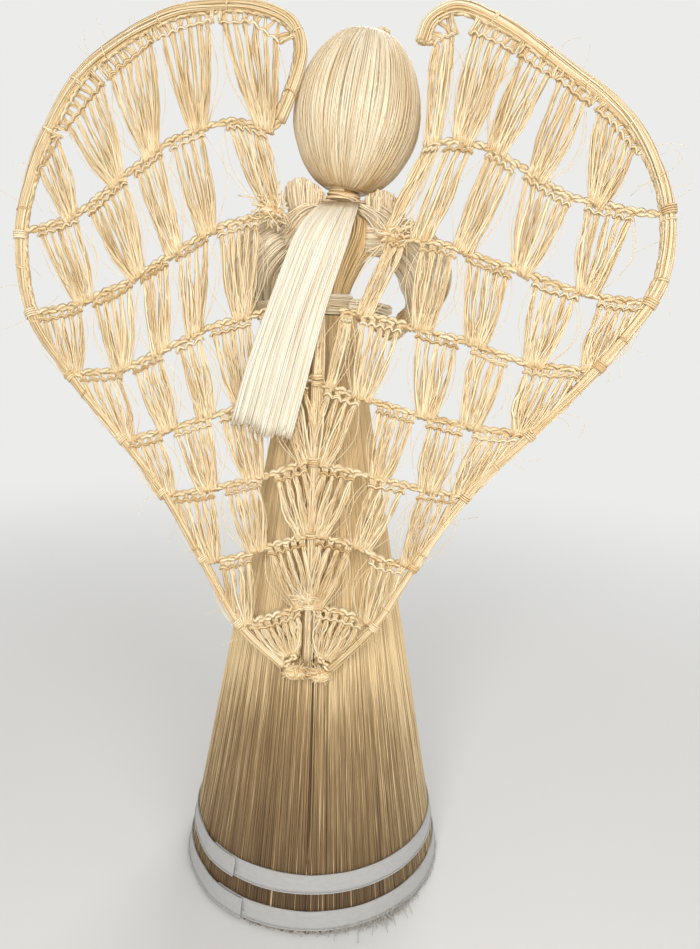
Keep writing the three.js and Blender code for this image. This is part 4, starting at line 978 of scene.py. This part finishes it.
def build_tail():
    tail = Strands()
    u = np.linspace(-0.97, 0.97, 60)
    v = np.linspace(0, 0.985, 40)[:, None]
    sheet = tail_place(u, v)
    ridge = uneven(u, np.linspace(-1, 1, 40), -0.12, 0.12) * MM
    back = sheet + FORWARD * (ridge[None, :, None] - 0.1 * MM)
    front = sheet + FORWARD * (0.55 * MM)
    lay = points_of(np.concatenate([u, u[::-1]]) * TAIL_HALF_WIDTH, v * TAIL_LENGTH)
    tail.lay_skin(np.concatenate([back, front[:, ::-1]], 1)[:, ::-1], lay[:, ::-1], tone=0.6, warm=0.05)
    for layer, strips in enumerate((84, 66)):
        steps = 26
        u = np.clip(np.linspace(-0.98, 0.98, strips) + random.normal(0, 0.012, strips), -1, 1)[:, None]
        end = each(0.975, 1.008, strips) + 0.012 * np.sin(u * 5 + 1)
        v = ramp(steps) * end
        paths = tail_place(u + wobble(strips, steps, 0.008), v)
        paths[..., 1] -= (0.05 + 0.16 * layer + each(0, 0.14, strips)) * MM
        # Painted shade at the tail's top, under the neck winding; the tail is also darker at its cut end.
        ends = 0.6 * (1 - smooth_step(v, 0, 0.06)) + 0.5 * smooth_step(v, 0.97, 1)
        tail.lay_strands(paths, np.array([0, -1, 0.1]) + sway(strips, 0.16),
                         each(0.15, 0.32, strips) * MM, 0.07 * MM,
                         tone=0.2 + 0.7 * random.beta(1.6, 1.1, (strips, 1)),
                         warm=ends * each(0.2, 1, strips))
    fray_tail(tail, 46)
    tail.build("hair_tail_strip", TAIL, "hair_tail", "hair_fibre", "hair_tail")


def fray_tail(tail, count):
    """Fine ends that stand past the tail's cut."""
    share = ramp(7)
    u = each(-1, 1, count)
    v = 0.985 + share * each(0.005, 0.035, count)
    paths = tail_place(u + random.normal(0, 0.03, (count, 1)) * share, v)
    paths[..., 1] -= each(-0.3, 0.5, count) * MM
    tail.lay_strands(paths, (0, -1, 0), 0.09 * MM, 0.06 * MM, warm=0.3)


# Wings

class Wing:
    """One wing's sheet: out from the seam and up from the tip, laid in its leaning plane."""

    def __init__(self, name, side, shares, sweep):
        self.side, self.sweep = side, sweep
        self.body = f"{name}_wing"
        size = np.array([WING_REACH, WING_RISE])
        self.chains = [np.array(chain) * size for chain in shares["chains"]]
        self.fans = shares["fans"]
        self.rim = even(splines((np.array(shares["rim"]) * size)[None], 500)[0], 260)
        along = unit(np.gradient(self.rim, axis=0))
        self.rim_inward = np.stack([-along[:, 1], along[:, 0]], -1)
        self.facing = unit(np.array([0, -1, WING_LEAN_SHARE]))

    def place(self, sheet, depth=0.0):
        """Points of the sheet, (..., out up), in the doll's frame. Depth counts towards the back."""
        out, up = sheet[..., 0], sheet[..., 1]
        y = wing_plane(up) - self.sweep * np.maximum(0, out) - depth
        return np.stack([self.side * out, y, WING_TIP_HEIGHT + up], -1)

    def curves(self, controls, depths, steps):
        """Smooth lines in the doll's frame, each through its own points of the sheet at their depths."""
        sheet = splines(np.concatenate([np.stack(controls, 1), depths[..., None]], -1), steps)
        return self.place(sheet, sheet[..., 2])

    def on_chain(self, row, share):
        """The sheet's (out, up) at a share across a row, with the row's corners eased."""
        chain = self.chains[row]
        out = chain[0, 0] + (chain[-1, 0] - chain[0, 0]) * np.asarray(share, float)
        ease = min(2.5 * MM, (chain[-1, 0] - chain[0, 0]) / 4)
        up = sum(np.interp(out + step * ease, chain[:, 0], chain[:, 1]) for step in (-1, -0.5, 0, 0.5, 1)) / 5
        return np.stack([out, up], -1)

    def row_line(self, row):
        """A row's whole run: its eased chain, drawn out to the rim where that is near, or to the seam."""
        chain = self.chains[row]
        line = list(self.on_chain(row, np.linspace(0, 1, 60)))
        for at in (0, -1):
            point = self.rim[nearest(self.rim, line[at])]
            if np.linalg.norm(point - line[at]) < RIM_REACH:
                line.insert(0 if at == 0 else len(line), point)
            elif at == 0 and chain[0, 0] < 3 * MM:
                line.insert(0, np.array([0.5 * MM, chain[0, 1]]))
        return np.array(line)

    def rim_edge(self, points):
        """The points of the rim's inner edge that lie beside points of the sheet, (points, 2)."""
        found = np.argmin(np.linalg.norm(self.rim[None] - points[:, None], axis=2), axis=1)
        return self.rim[found] + self.rim_inward[found] * PLAIT_INSET


def lay_braid(strands, wing, line, upper, lower):
    """A crocheted plait: an upper and a lower ply that arch apart and cross at each stitch."""
    length = np.linalg.norm(np.diff(line, axis=0), axis=1).sum()
    links = max(2, round(length / STITCH))
    steps = links * 8 + 1
    line = even(line, steps)
    along = unit(np.gradient(line, axis=0))
    normal = np.stack([-along[:, 1], along[:, 0]], -1)
    phase = np.linspace(0, math.pi * links, steps)
    arch = np.abs(np.sin(phase)) ** 0.8 * uneven(phase, np.arange(links + 1) * math.pi, 0.5, 1.2)
    count = 7
    paths = []
    for ply, reach in ((1, upper), (-1, lower)):
        for strand in range(count):
            spin = TURN * strand / count + 0.3 * phase * ply
            off = ply * reach * arch + 0.36 * MM * np.cos(spin)
            depth = 0.32 * MM * ply * np.cos(phase) + 0.24 * MM * np.sin(spin)
            paths.append(wing.place(line + normal * off[:, None], depth))
    # Painted shade where the two plies cross at each stitch.
    strands.lay_strands(np.array(paths), wing.facing, each(0.26, 0.5, 2 * count) * MM, 0.09 * MM,
                        tone=each(0.3, 0.95, 2 * count), warm=0.04 + 0.25 * np.abs(np.cos(phase)) ** 8)


def lay_fan(strands, wing, row, fan):
    """A fan of the lace: pillars that are stitched to one chain, pass under a line of arches just below it,
    spread, and are gathered over the next chain."""
    low, high, knot = fan
    ends = wing.on_chain(row, np.array([low, high]))
    width = np.linalg.norm(ends[1] - ends[0])
    across = (ends[1] - ends[0]) / width
    foot = wing.on_chain(row + 1, knot)
    centre = ends.mean(0)
    down = unit(foot - centre)
    gather = min(GATHER_HALF, width * 0.36)
    stitches = max(3, round(width / STITCH))
    count = stitches * PILLAR_STRANDS
    place = np.repeat((np.arange(stitches) + 0.5) / stitches, PILLAR_STRANDS)
    lean = np.tile(np.where(np.arange(PILLAR_STRANDS) % 2, 0.32, -0.32), stitches) / stitches
    tops = wing.on_chain(row, low + (high - low) * (place + lean))
    under = wing.on_chain(row, low + (high - low) * place)
    if row == 0:
        tops = wing.rim_edge(tops)
    else:
        under = under + unit(foot - under) * SECOND_LINE
    order = place + random.normal(0, 0.6 / stitches, count)
    foots = foot + across * (gather * (2 * np.clip(order, 0, 1) - 1))[:, None]
    bow = across * ((2 * place - 1) * (0.4 + 0.04 * width / MM) * MM)[:, None]

    def jitter(size):
        return random.normal(0, size, (count, 2)) * MM

    controls = [tops + jitter(0.22)]
    for go, bend, size in ((0, 0, 0.42), (0.22, 0.55, 0.5), (0.55, 1, 0.42), (0.84, 0.35, 0.2)):
        controls.append(under + (foots - under) * go + bow * bend + jitter(size))
    for past, size in ((-0.9, 0.12), (1.1, 0.2)):
        controls.append(foots + down * past * MM + jitter(size))
    depth = (PILLAR_DEPTHS + random.uniform(-0.55, 1.05, count)[:, None] * PILLAR_SWELLS) * MM
    steps = 12
    paths = wing.curves(controls, depth, steps)
    share = ramp(steps)
    # Painted shade where the pillars gather into the knot, and where they start under the arches.
    warm = 0.04 + 0.45 * smooth_step(share, 0.76, 0.97) * each(0.3, 1, count)
    warm = warm + 0.15 * (1 - smooth_step(share, 0.05, 0.22)) * each(0, 1, count)
    half = random.gamma(5, 0.044, (count, 1)).clip(0.1, 0.42) * MM
    strands.lay_strands(paths, wing.facing + sway(count, 0.28), half, 0.08 * MM,
                        tone=each(0.25, 0.95, count), warm=warm)
    loose = 3
    side = random.choice((-1, 1), loose)
    place = np.clip(0.5 + side * random.uniform(0.3, 0.5, loose), 0, 1)
    top = wing.on_chain(row, low + (high - low) * place) + down * 2 * MM
    end = foot + across * (side * gather)[:, None]
    reach = np.linalg.norm(foot - centre)
    out = across * (side * random.uniform(0.06, 0.2, loose) * reach)[:, None]
    middle = [top + (end - top) * go + out * math.sin(math.pi * go) for go in (0, 0.3, 0.6, 1)]
    paths = wing.curves(middle, random.uniform(0, 1.2, (loose, 4)) * MM, 10)
    strands.lay_strands(paths, wing.facing, 0.12 * MM, 0.08 * MM, tone=0.75)
    lay_arches(strands, wing, row, low, high, stitches, foot)
    if row == 0:
        lay_posts(strands, wing, low, high)


def lay_arches(strands, wing, row, low, high, stitches, foot):
    """The line of arches at a fan's head: one over each pillar, with a stitch between."""
    count, steps = 4, stitches * 6 + 1
    share = np.linspace(0, 1, steps)
    line = wing.on_chain(row, low + (high - low) * share)
    down = unit(foot - line)
    drop = 0.2 * MM if row == 0 else SECOND_LINE
    swell = uneven(share * stitches, np.arange(stitches + 1), 0.3, 1.3)
    arch = np.abs(np.sin(math.pi * stitches * share)) * swell
    paths = []
    for strand in range(count):
        lift = drop + (0.2 - 1.2 * arch + random.normal(0, 0.16)) * MM + wobble(1, steps, 0.1 * MM)[0]
        depth = (0.55 + 0.45 * arch + 0.2 * strand) * MM + wobble(1, steps, 0.1 * MM)[0]
        paths.append(wing.place(line + down * lift[:, None], depth))
    # Painted shade where the arches meet, between the pillars.
    strands.lay_strands(np.array(paths), wing.facing, each(0.24, 0.42, count) * MM, 0.1 * MM,
                        warm=0.06 + 0.3 * np.clip(1 - arch, 0, 1) ** 3)


def lay_posts(strands, wing, low, high):
    """The upright stitches at both ends of a first row's fan, from the rim down to its arches."""
    for share in (low, high):
        foot = wing.on_chain(0, share)
        head = wing.rim_edge(foot[None])[0]
        count = 9
        start = head + random.normal(0, 0.45, (count, 2)) * MM
        end = foot + random.normal(0, 0.35, (count, 2)) * MM
        depth = np.array([0.5, 0.8, 0.5]) + random.normal(0, 0.3, (count, 3))
        paths = wing.curves([start, (start + end) / 2, end], depth * MM, 7)
        strands.lay_strands(paths, wing.facing, 0.32 * MM, 0.09 * MM, tone=each(0.3, 0.95, count), warm=0.06)


def lay_rim(strands, wing):
    """The rim: broad flat strips laid side by side over a wire and nipped in at even distances, with a plait
    along its inner edge. Returns the rim's line and its directions."""
    line = wing.place(wing.rim)
    along, across, deep = frames_along(line)
    count, steps = 46, len(line)
    share = np.linspace(0, 1, steps)
    nips = 1 - 0.1 * np.exp(-(((share * RIM_NIPS) % 1 - 0.5) / 0.07) ** 2)
    full = nips * (0.7 + 0.3 * smooth_step(share, *RIM_THICKENS))
    turn = TURN * np.arange(count)[:, None] / count + 4 * share + wobble(count, steps, 0.3, waves=5)
    size = each(0.78, 0.97, count) * RIM_RADIUS * full + wobble(count, steps, 0.05 * MM, waves=6)
    away = about(turn, across, deep)
    strands.lay_strands(line + away * size[..., None], away + sway(count, 0.2),
                        each(0.26, 0.5, count) * MM, 0.09 * MM, tone=each(0.3, 0.95, count), warm=0.03)
    core = RIM_RADIUS * 0.82 * full
    strands.lay_strands(line, wing.facing, core, core, tone=0.6, warm=0.08, sides=6)
    plait = (wing.rim + wing.rim_inward * PLAIT_INSET)[share > PLAIT_FROM]
    lay_braid(strands, wing, plait, upper=0.3 * MM, lower=0.3 * MM)
    return line, along


def over_stitches(strands, line, along, count=16):
    """Single slanted stitches that carry the lace over the rim."""
    for at in np.linspace(10, len(line) - 8, count).astype(int) + random.integers(-4, 5, count):
        axis = along[at] + random.normal(0, 0.25, 3)
        size = RIM_RADIUS * (0.7 + 0.29 * smooth_step(at / len(line), *RIM_THICKENS))
        wind(strands, line[at], axis, size, loops=1.15, rise=0.6 * MM, plies=4, ply=0.26 * MM,
             start=random.uniform(0, 6), warm=0.03, jitter=0.3)


def lay_strays(strands, wing, line, count=60):
    """Loose hairs that have worked out of the rim and the rows, away from the seam."""
    rows = [wing.place(chain) for chain in wing.chains]
    starts = np.concatenate([line[6:-6], np.concatenate(rows)])
    starts = starts[np.abs(starts[:, 0]) > STRAY_REACH + 2 * MM]
    start = starts[random.integers(0, len(starts), count)]
    lean = np.array([wing.side * 0.3, -0.15, 0])
    aim = unit(random.normal(0, 1, (count, 3)) * np.array([1, 0.3, 1]) + lean)
    curl = unit(np.cross(aim, random.normal(0, 1, (count, 3))))
    reach = random.uniform(0.25, 1, (count, 1, 1)) * STRAY_REACH
    share = np.linspace(0, 1, 16)[None, :, None]
    bend = random.uniform(-0.8, 0.8, (count, 1, 1))
    paths = start[:, None] + aim[:, None] * reach * share + curl[:, None] * reach * bend * np.sin(2.8 * share)
    strands.lay_strands(paths, wing.facing, 0.07 * MM, 0.05 * MM, tone=0.8)


def cut_ends(start, count, spread, lean, reach, size, bend, bend_spread):
    """Paths of short ends that stand out from start every way, leaning one way, each bent its own way."""
    aim = unit(random.normal(0, 1, (count, 3)) * np.array(spread) + np.array(lean))
    share = np.linspace(0.1, 1, 7)[None, :, None]
    reach = random.uniform(*reach, (count, 1, 1)) * size
    bend = sway(count, bend) * reach * share ** 2 * np.array(bend_spread)
    return start + aim[:, None] * reach * share + bend


def lay_tangle(strands, wing, count=120):
    """Where the lace is knotted to the shoulder: a few small nests of thread, and cut ends that lie flat."""
    middle = wing.place(wing.chains[2][0], 0.6 * MM)
    size = 6.5 * MM if wing.side < 0 else 5.5 * MM
    sides = np.array([wing.side, 1, 1])
    for _ in range(5):
        off = random.uniform((-0.05, -0.05, -0.4), (0.85, 0.05, 0.4)) * sides * size
        nest = size * random.uniform(0.3, 0.5)
        ball_of_thread(strands, middle + off, (nest, 1.2 * MM, nest * 0.5), loops=10, thread=0.27 * MM,
                       warm=0.02)
    start = middle + random.uniform((-0.15, -0.12, -0.5), (1.1, 0.12, 0.5), (count, 3)) * sides * size
    paths = cut_ends(start[:, None], count, spread=(1, 0.12, 1), lean=(wing.side * 0.4, 0, -0.2),
                     reach=(0.25, 0.75), size=size, bend=0.6, bend_spread=(1, 0.1, 1))
    strands.lay_strands(paths, wing.facing, 0.26 * MM, 0.09 * MM, tone=each(0.4, 1, count), warm=0.02)


def lay_tuft(strands, centre, size, toward, count=200):
    """A tip's knot, and the cut ends that stand out of it."""
    ball_of_thread(strands, centre, size * np.array([1.15, 0.86, 0.8]), loops=40, thread=0.36 * MM,
                   warm=0.08)
    aim = unit(random.normal(0, 1, (count, 3)) + np.array([toward * 0.7, 0, 0.1]))
    share = np.linspace(0.3, 1, 5)[None, :, None]
    reach = random.uniform(0.85, 1.6, (count, 1, 1)) * size * np.array([1.2, 0.7, 0.75])
    bend = sway(count, 0.12) * size * share ** 2
    strands.lay_strands(centre + aim[:, None] * reach * share + bend, (0.1, -1, 0.2), 0.2 * MM, 0.12 * MM,
                        warm=each(0, 0.4, count))


def build_wing(name, side, shares, sweep):
    wing = Wing(name, side, shares, sweep)
    chains = Strands()
    for row in range(1, len(wing.chains)):
        lay_braid(chains, wing, wing.row_line(row), upper=0.85 * MM, lower=0.5 * MM)
    chains.build(f"wing_{name}_chains", LACE, wing.body, "lace_thread", f"wing_{name}_lace")
    fans = Strands()
    for row, row_fans in enumerate(wing.fans):
        for fan in row_fans:
            lay_fan(fans, wing, row, fan)
    lay_tangle(fans, wing)
    fans.build(f"wing_{name}_fans", LACE, wing.body, "lace_thread", f"wing_{name}_lace")
    rim = Strands()
    line, along = lay_rim(rim, wing)
    over_stitches(rim, line, along)
    lay_strays(rim, wing, line)
    rim.build(f"wing_{name}_rim_bundle", LACE, wing.body, "lace_thread", f"wing_{name}_rim")
    knot = Strands()
    low, high = (np.array(corner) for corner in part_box(f"wing_{name}_tip_knot"))
    lay_tuft(knot, (low + high) / 2 - np.array([side * 1.2 * MM, 0, 0]), (high - low) / 2, -side)
    knot.build(f"wing_{name}_tip_tuft", LACE, wing.body, "lace_thread", f"wing_{name}_tip_knot")
    for tie in range(1, RIM_TIE_COUNT + 1):
        low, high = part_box(f"wing_{name}_rim_tie_{tie}")
        at = nearest(line, np.array((low + high) / 2))
        size = RIM_RADIUS * (0.76 + 0.3 * smooth_step(at / len(line), *RIM_THICKENS))
        binding = Strands()
        wind(binding, line[at] - along[at] * 1.3 * MM, along[at], size + 0.15 * MM, loops=3.6,
             rise=0.7 * MM, ply=0.28 * MM, start=tie, warm=0.04)
        binding.build(f"wing_{name}_binding_{tie}", THREAD, wing.body, "binding_thread",
                      f"wing_{name}_rim_tie_{tie}")
    return wing


def fray_seam(cord, up, count=54):
    """The knot near the seam's foot, with its cut ends spread to the left."""
    knot = np.array([-1.2 * MM, wing_plane(up) - 1.2 * MM, WING_TIP_HEIGHT + up])
    ball_of_thread(cord, knot, (2.4 * MM, 1.2 * MM, 1.7 * MM), loops=18, thread=0.3 * MM, warm=0.05)
    paths = cut_ends(knot, count, spread=(1, 0.25, 0.7), lean=(-0.8, -0.1, 0.2), reach=(2, 6.5), size=MM,
                     bend=0.25, bend_spread=(1, 0.2, 1))
    cord.lay_strands(paths, (0, -1, 0.14), 0.2 * MM, 0.08 * MM, tone=0.8, warm=0.05)


def build_seam(wings):
    """The cord that both wings are sewn to, straws laid over it, a wrap at each lower row, and its knots."""
    cord = Strands()
    low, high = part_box("wing_seam_cord")
    heights = np.linspace(low.z, high.z, 120)
    y = wing_plane(heights - WING_TIP_HEIGHT)
    phase = np.linspace(0, 70, 120)
    plies = []
    for ply in range(4):
        spin = phase + TURN * ply / 4
        plies.append(points_of(0.36 * MM * np.cos(spin), y + 0.36 * MM * np.sin(spin), heights))
    cord.lay_strands(np.array(plies), (0, -1, 0), 0.34 * MM, 0.26 * MM, warm=0.1)
    count, steps = 26, 40
    place = each(-1, 1, count)
    level = ramp(steps) * (high.z - low.z) * each(0.75, 1, count)
    x = place * 1.4 * MM + wobble(count, steps, 0.35 * MM, waves=7)
    depth = (0.45 - 0.5 * place ** 2) * MM + wobble(count, steps, 0.2 * MM, waves=5)
    straws = points_of(x, wing_plane(low.z + level - WING_TIP_HEIGHT) - depth, low.z + level)
    cord.lay_strands(straws, (0, -1, 0.14), each(0.3, 0.5, count) * MM, 0.09 * MM, tone=each(0.1, 0.8, count),
                     warm=0.04)
    for wing in wings:
        for chain in wing.chains[3:-1]:
            up = chain[0, 1]
            place = np.array([0, wing_plane(up) - 0.4 * MM, WING_TIP_HEIGHT + up - 0.6 * MM])
            wind(cord, place, (0, 0, 1), 1.7 * MM, loops=1.6, rise=0.7 * MM, plies=5, ply=0.32 * MM,
                 warm=0.08, jitter=0.6)
    fray_seam(cord, wings[0].chains[7][0, 1] + 3 * MM)
    cord.build("seam_cord_plies", THREAD, "root", "binding_thread", "wing_seam_cord")
    for place in ("waist", "chest"):
        low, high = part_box(f"wing_knot_{place}")
        knot = Strands()
        ball_of_thread(knot, (low + high) / 2, (high - low) / 2, loops=40, thread=0.3 * MM)
        knot.build(f"seam_knot_{place}", THREAD, "root", "binding_thread", f"wing_knot_{place}")


build_skirt()
build_ribbon("lower")
build_ribbon("upper")
build_bodice()
build_sash()
build_head()
build_neck_tie()
build_tail()
for name, side in (("left", -1), ("right", 1)):
    build_sash_tail(name, side)
    build_ruff(name)
    build_sleeve(name, side)
    build_cuff_tie(name, side)
    build_hand(name, side)
wings = [build_wing("left", -1, LEFT_SHARES, 0.0), build_wing("right", 1, RIGHT_SHARES, 0.12)]
build_seam(wings)


# Floor, light and camera

def build_stage():
    """A flat pale floor that takes the doll's shadow and fades, for the camera, into the backdrop."""
    turns = [TURN * i / FLOOR_CORNERS for i in range(FLOOR_CORNERS)]
    verts = [(FLOOR_RADIUS * math.cos(turn), FLOOR_RADIUS * math.sin(turn), 0) for turn in turns]
    mesh = bpy.data.meshes.new("floor")
    mesh.from_pydata(verts, [], [tuple(range(FLOOR_CORNERS))])
    floor = bpy.data.objects.new("floor", mesh)
    bpy.context.scene.collection.objects.link(floor)
    material, tree = new_material("pale_floor", Base_Color=FLOOR_COLOUR, Roughness=0.85,
                                  Specular_IOR_Level=0.1)
    away = add(tree, "VectorMath", {0: add(tree, "TexCoord", {}, "Object")}, "Value", operation="LENGTH")
    far = add(tree, "MapRange", {"Value": away, "From Min": FLOOR_FADE[0], "From Max": FLOOR_FADE[1]},
              interpolation_type="SMOOTHSTEP")
    share = maths(tree, "MULTIPLY", far, add(tree, "LightPath", {}, "Is Camera Ray"))
    glow = add(tree, "Emission", {"Color": BACKDROP, "Strength": 1.0})
    faded = add(tree, "MixShader", {0: share, 1: tree.nodes["Principled BSDF"].outputs[0], 2: glow})
    feed(tree, tree.nodes["Material Output"], {"Surface": faded})
    mesh.materials.append(material)


def build_light():
    for name, (place, size, power, colour) in LIGHTS.items():
        light = bpy.data.lights.new(name, "AREA")
        light.size = size
        light.energy = power
        light.color = colour
        lamp = bpy.data.objects.new(name, light)
        bpy.context.scene.collection.objects.link(lamp)
        lamp.location = place
        lamp.rotation_euler = (Vector(LIT_PLACE) - Vector(place)).to_track_quat("-Z", "Y").to_euler()
    world = bpy.data.worlds.new("studio")
    bpy.context.scene.world = world
    world.use_nodes = True
    tree = world.node_tree
    lit = tree.nodes["Background"]
    feed(tree, lit, {"Color": AMBIENT, "Strength": AMBIENT_STRENGTH})
    seen = add(tree, "Background", {"Color": BACKDROP, "Strength": 1.0})
    ray = add(tree, "LightPath", {}, "Is Camera Ray")
    mix = add(tree, "MixShader", {0: ray, 1: lit.outputs[0], 2: seen})
    feed(tree, tree.nodes["World Output"], {"Surface": mix})


def build_camera():
    pitch, yaw, roll = CAMERA_PITCH, CAMERA_YAW, CAMERA_ROLL
    forward = Vector((math.sin(yaw) * math.cos(pitch), math.cos(yaw) * math.cos(pitch), -math.sin(pitch)))
    right = Vector((math.cos(yaw), -math.sin(yaw), 0))
    up = right.cross(forward)
    across = right * math.cos(roll) + up * math.sin(roll)
    upward = up * math.cos(roll) - right * math.sin(roll)
    camera = bpy.data.cameras.new("camera")
    camera.sensor_fit = "VERTICAL"
    camera.sensor_height = SENSOR_MM
    camera.lens = FOCAL_PX / FRAME_HEIGHT_PX * SENSOR_MM
    camera.clip_start, camera.clip_end = 0.01, 20
    stand = bpy.data.objects.new("camera", camera)
    bpy.context.scene.collection.objects.link(stand)
    turned = Matrix((across, upward, -forward)).transposed().to_4x4()
    stand.matrix_world = Matrix.Translation(CAMERA_PLACE) @ turned
    bpy.context.scene.camera = stand


build_stage()
build_light()
build_camera()
bpy.context.scene.view_settings.view_transform = "Standard"
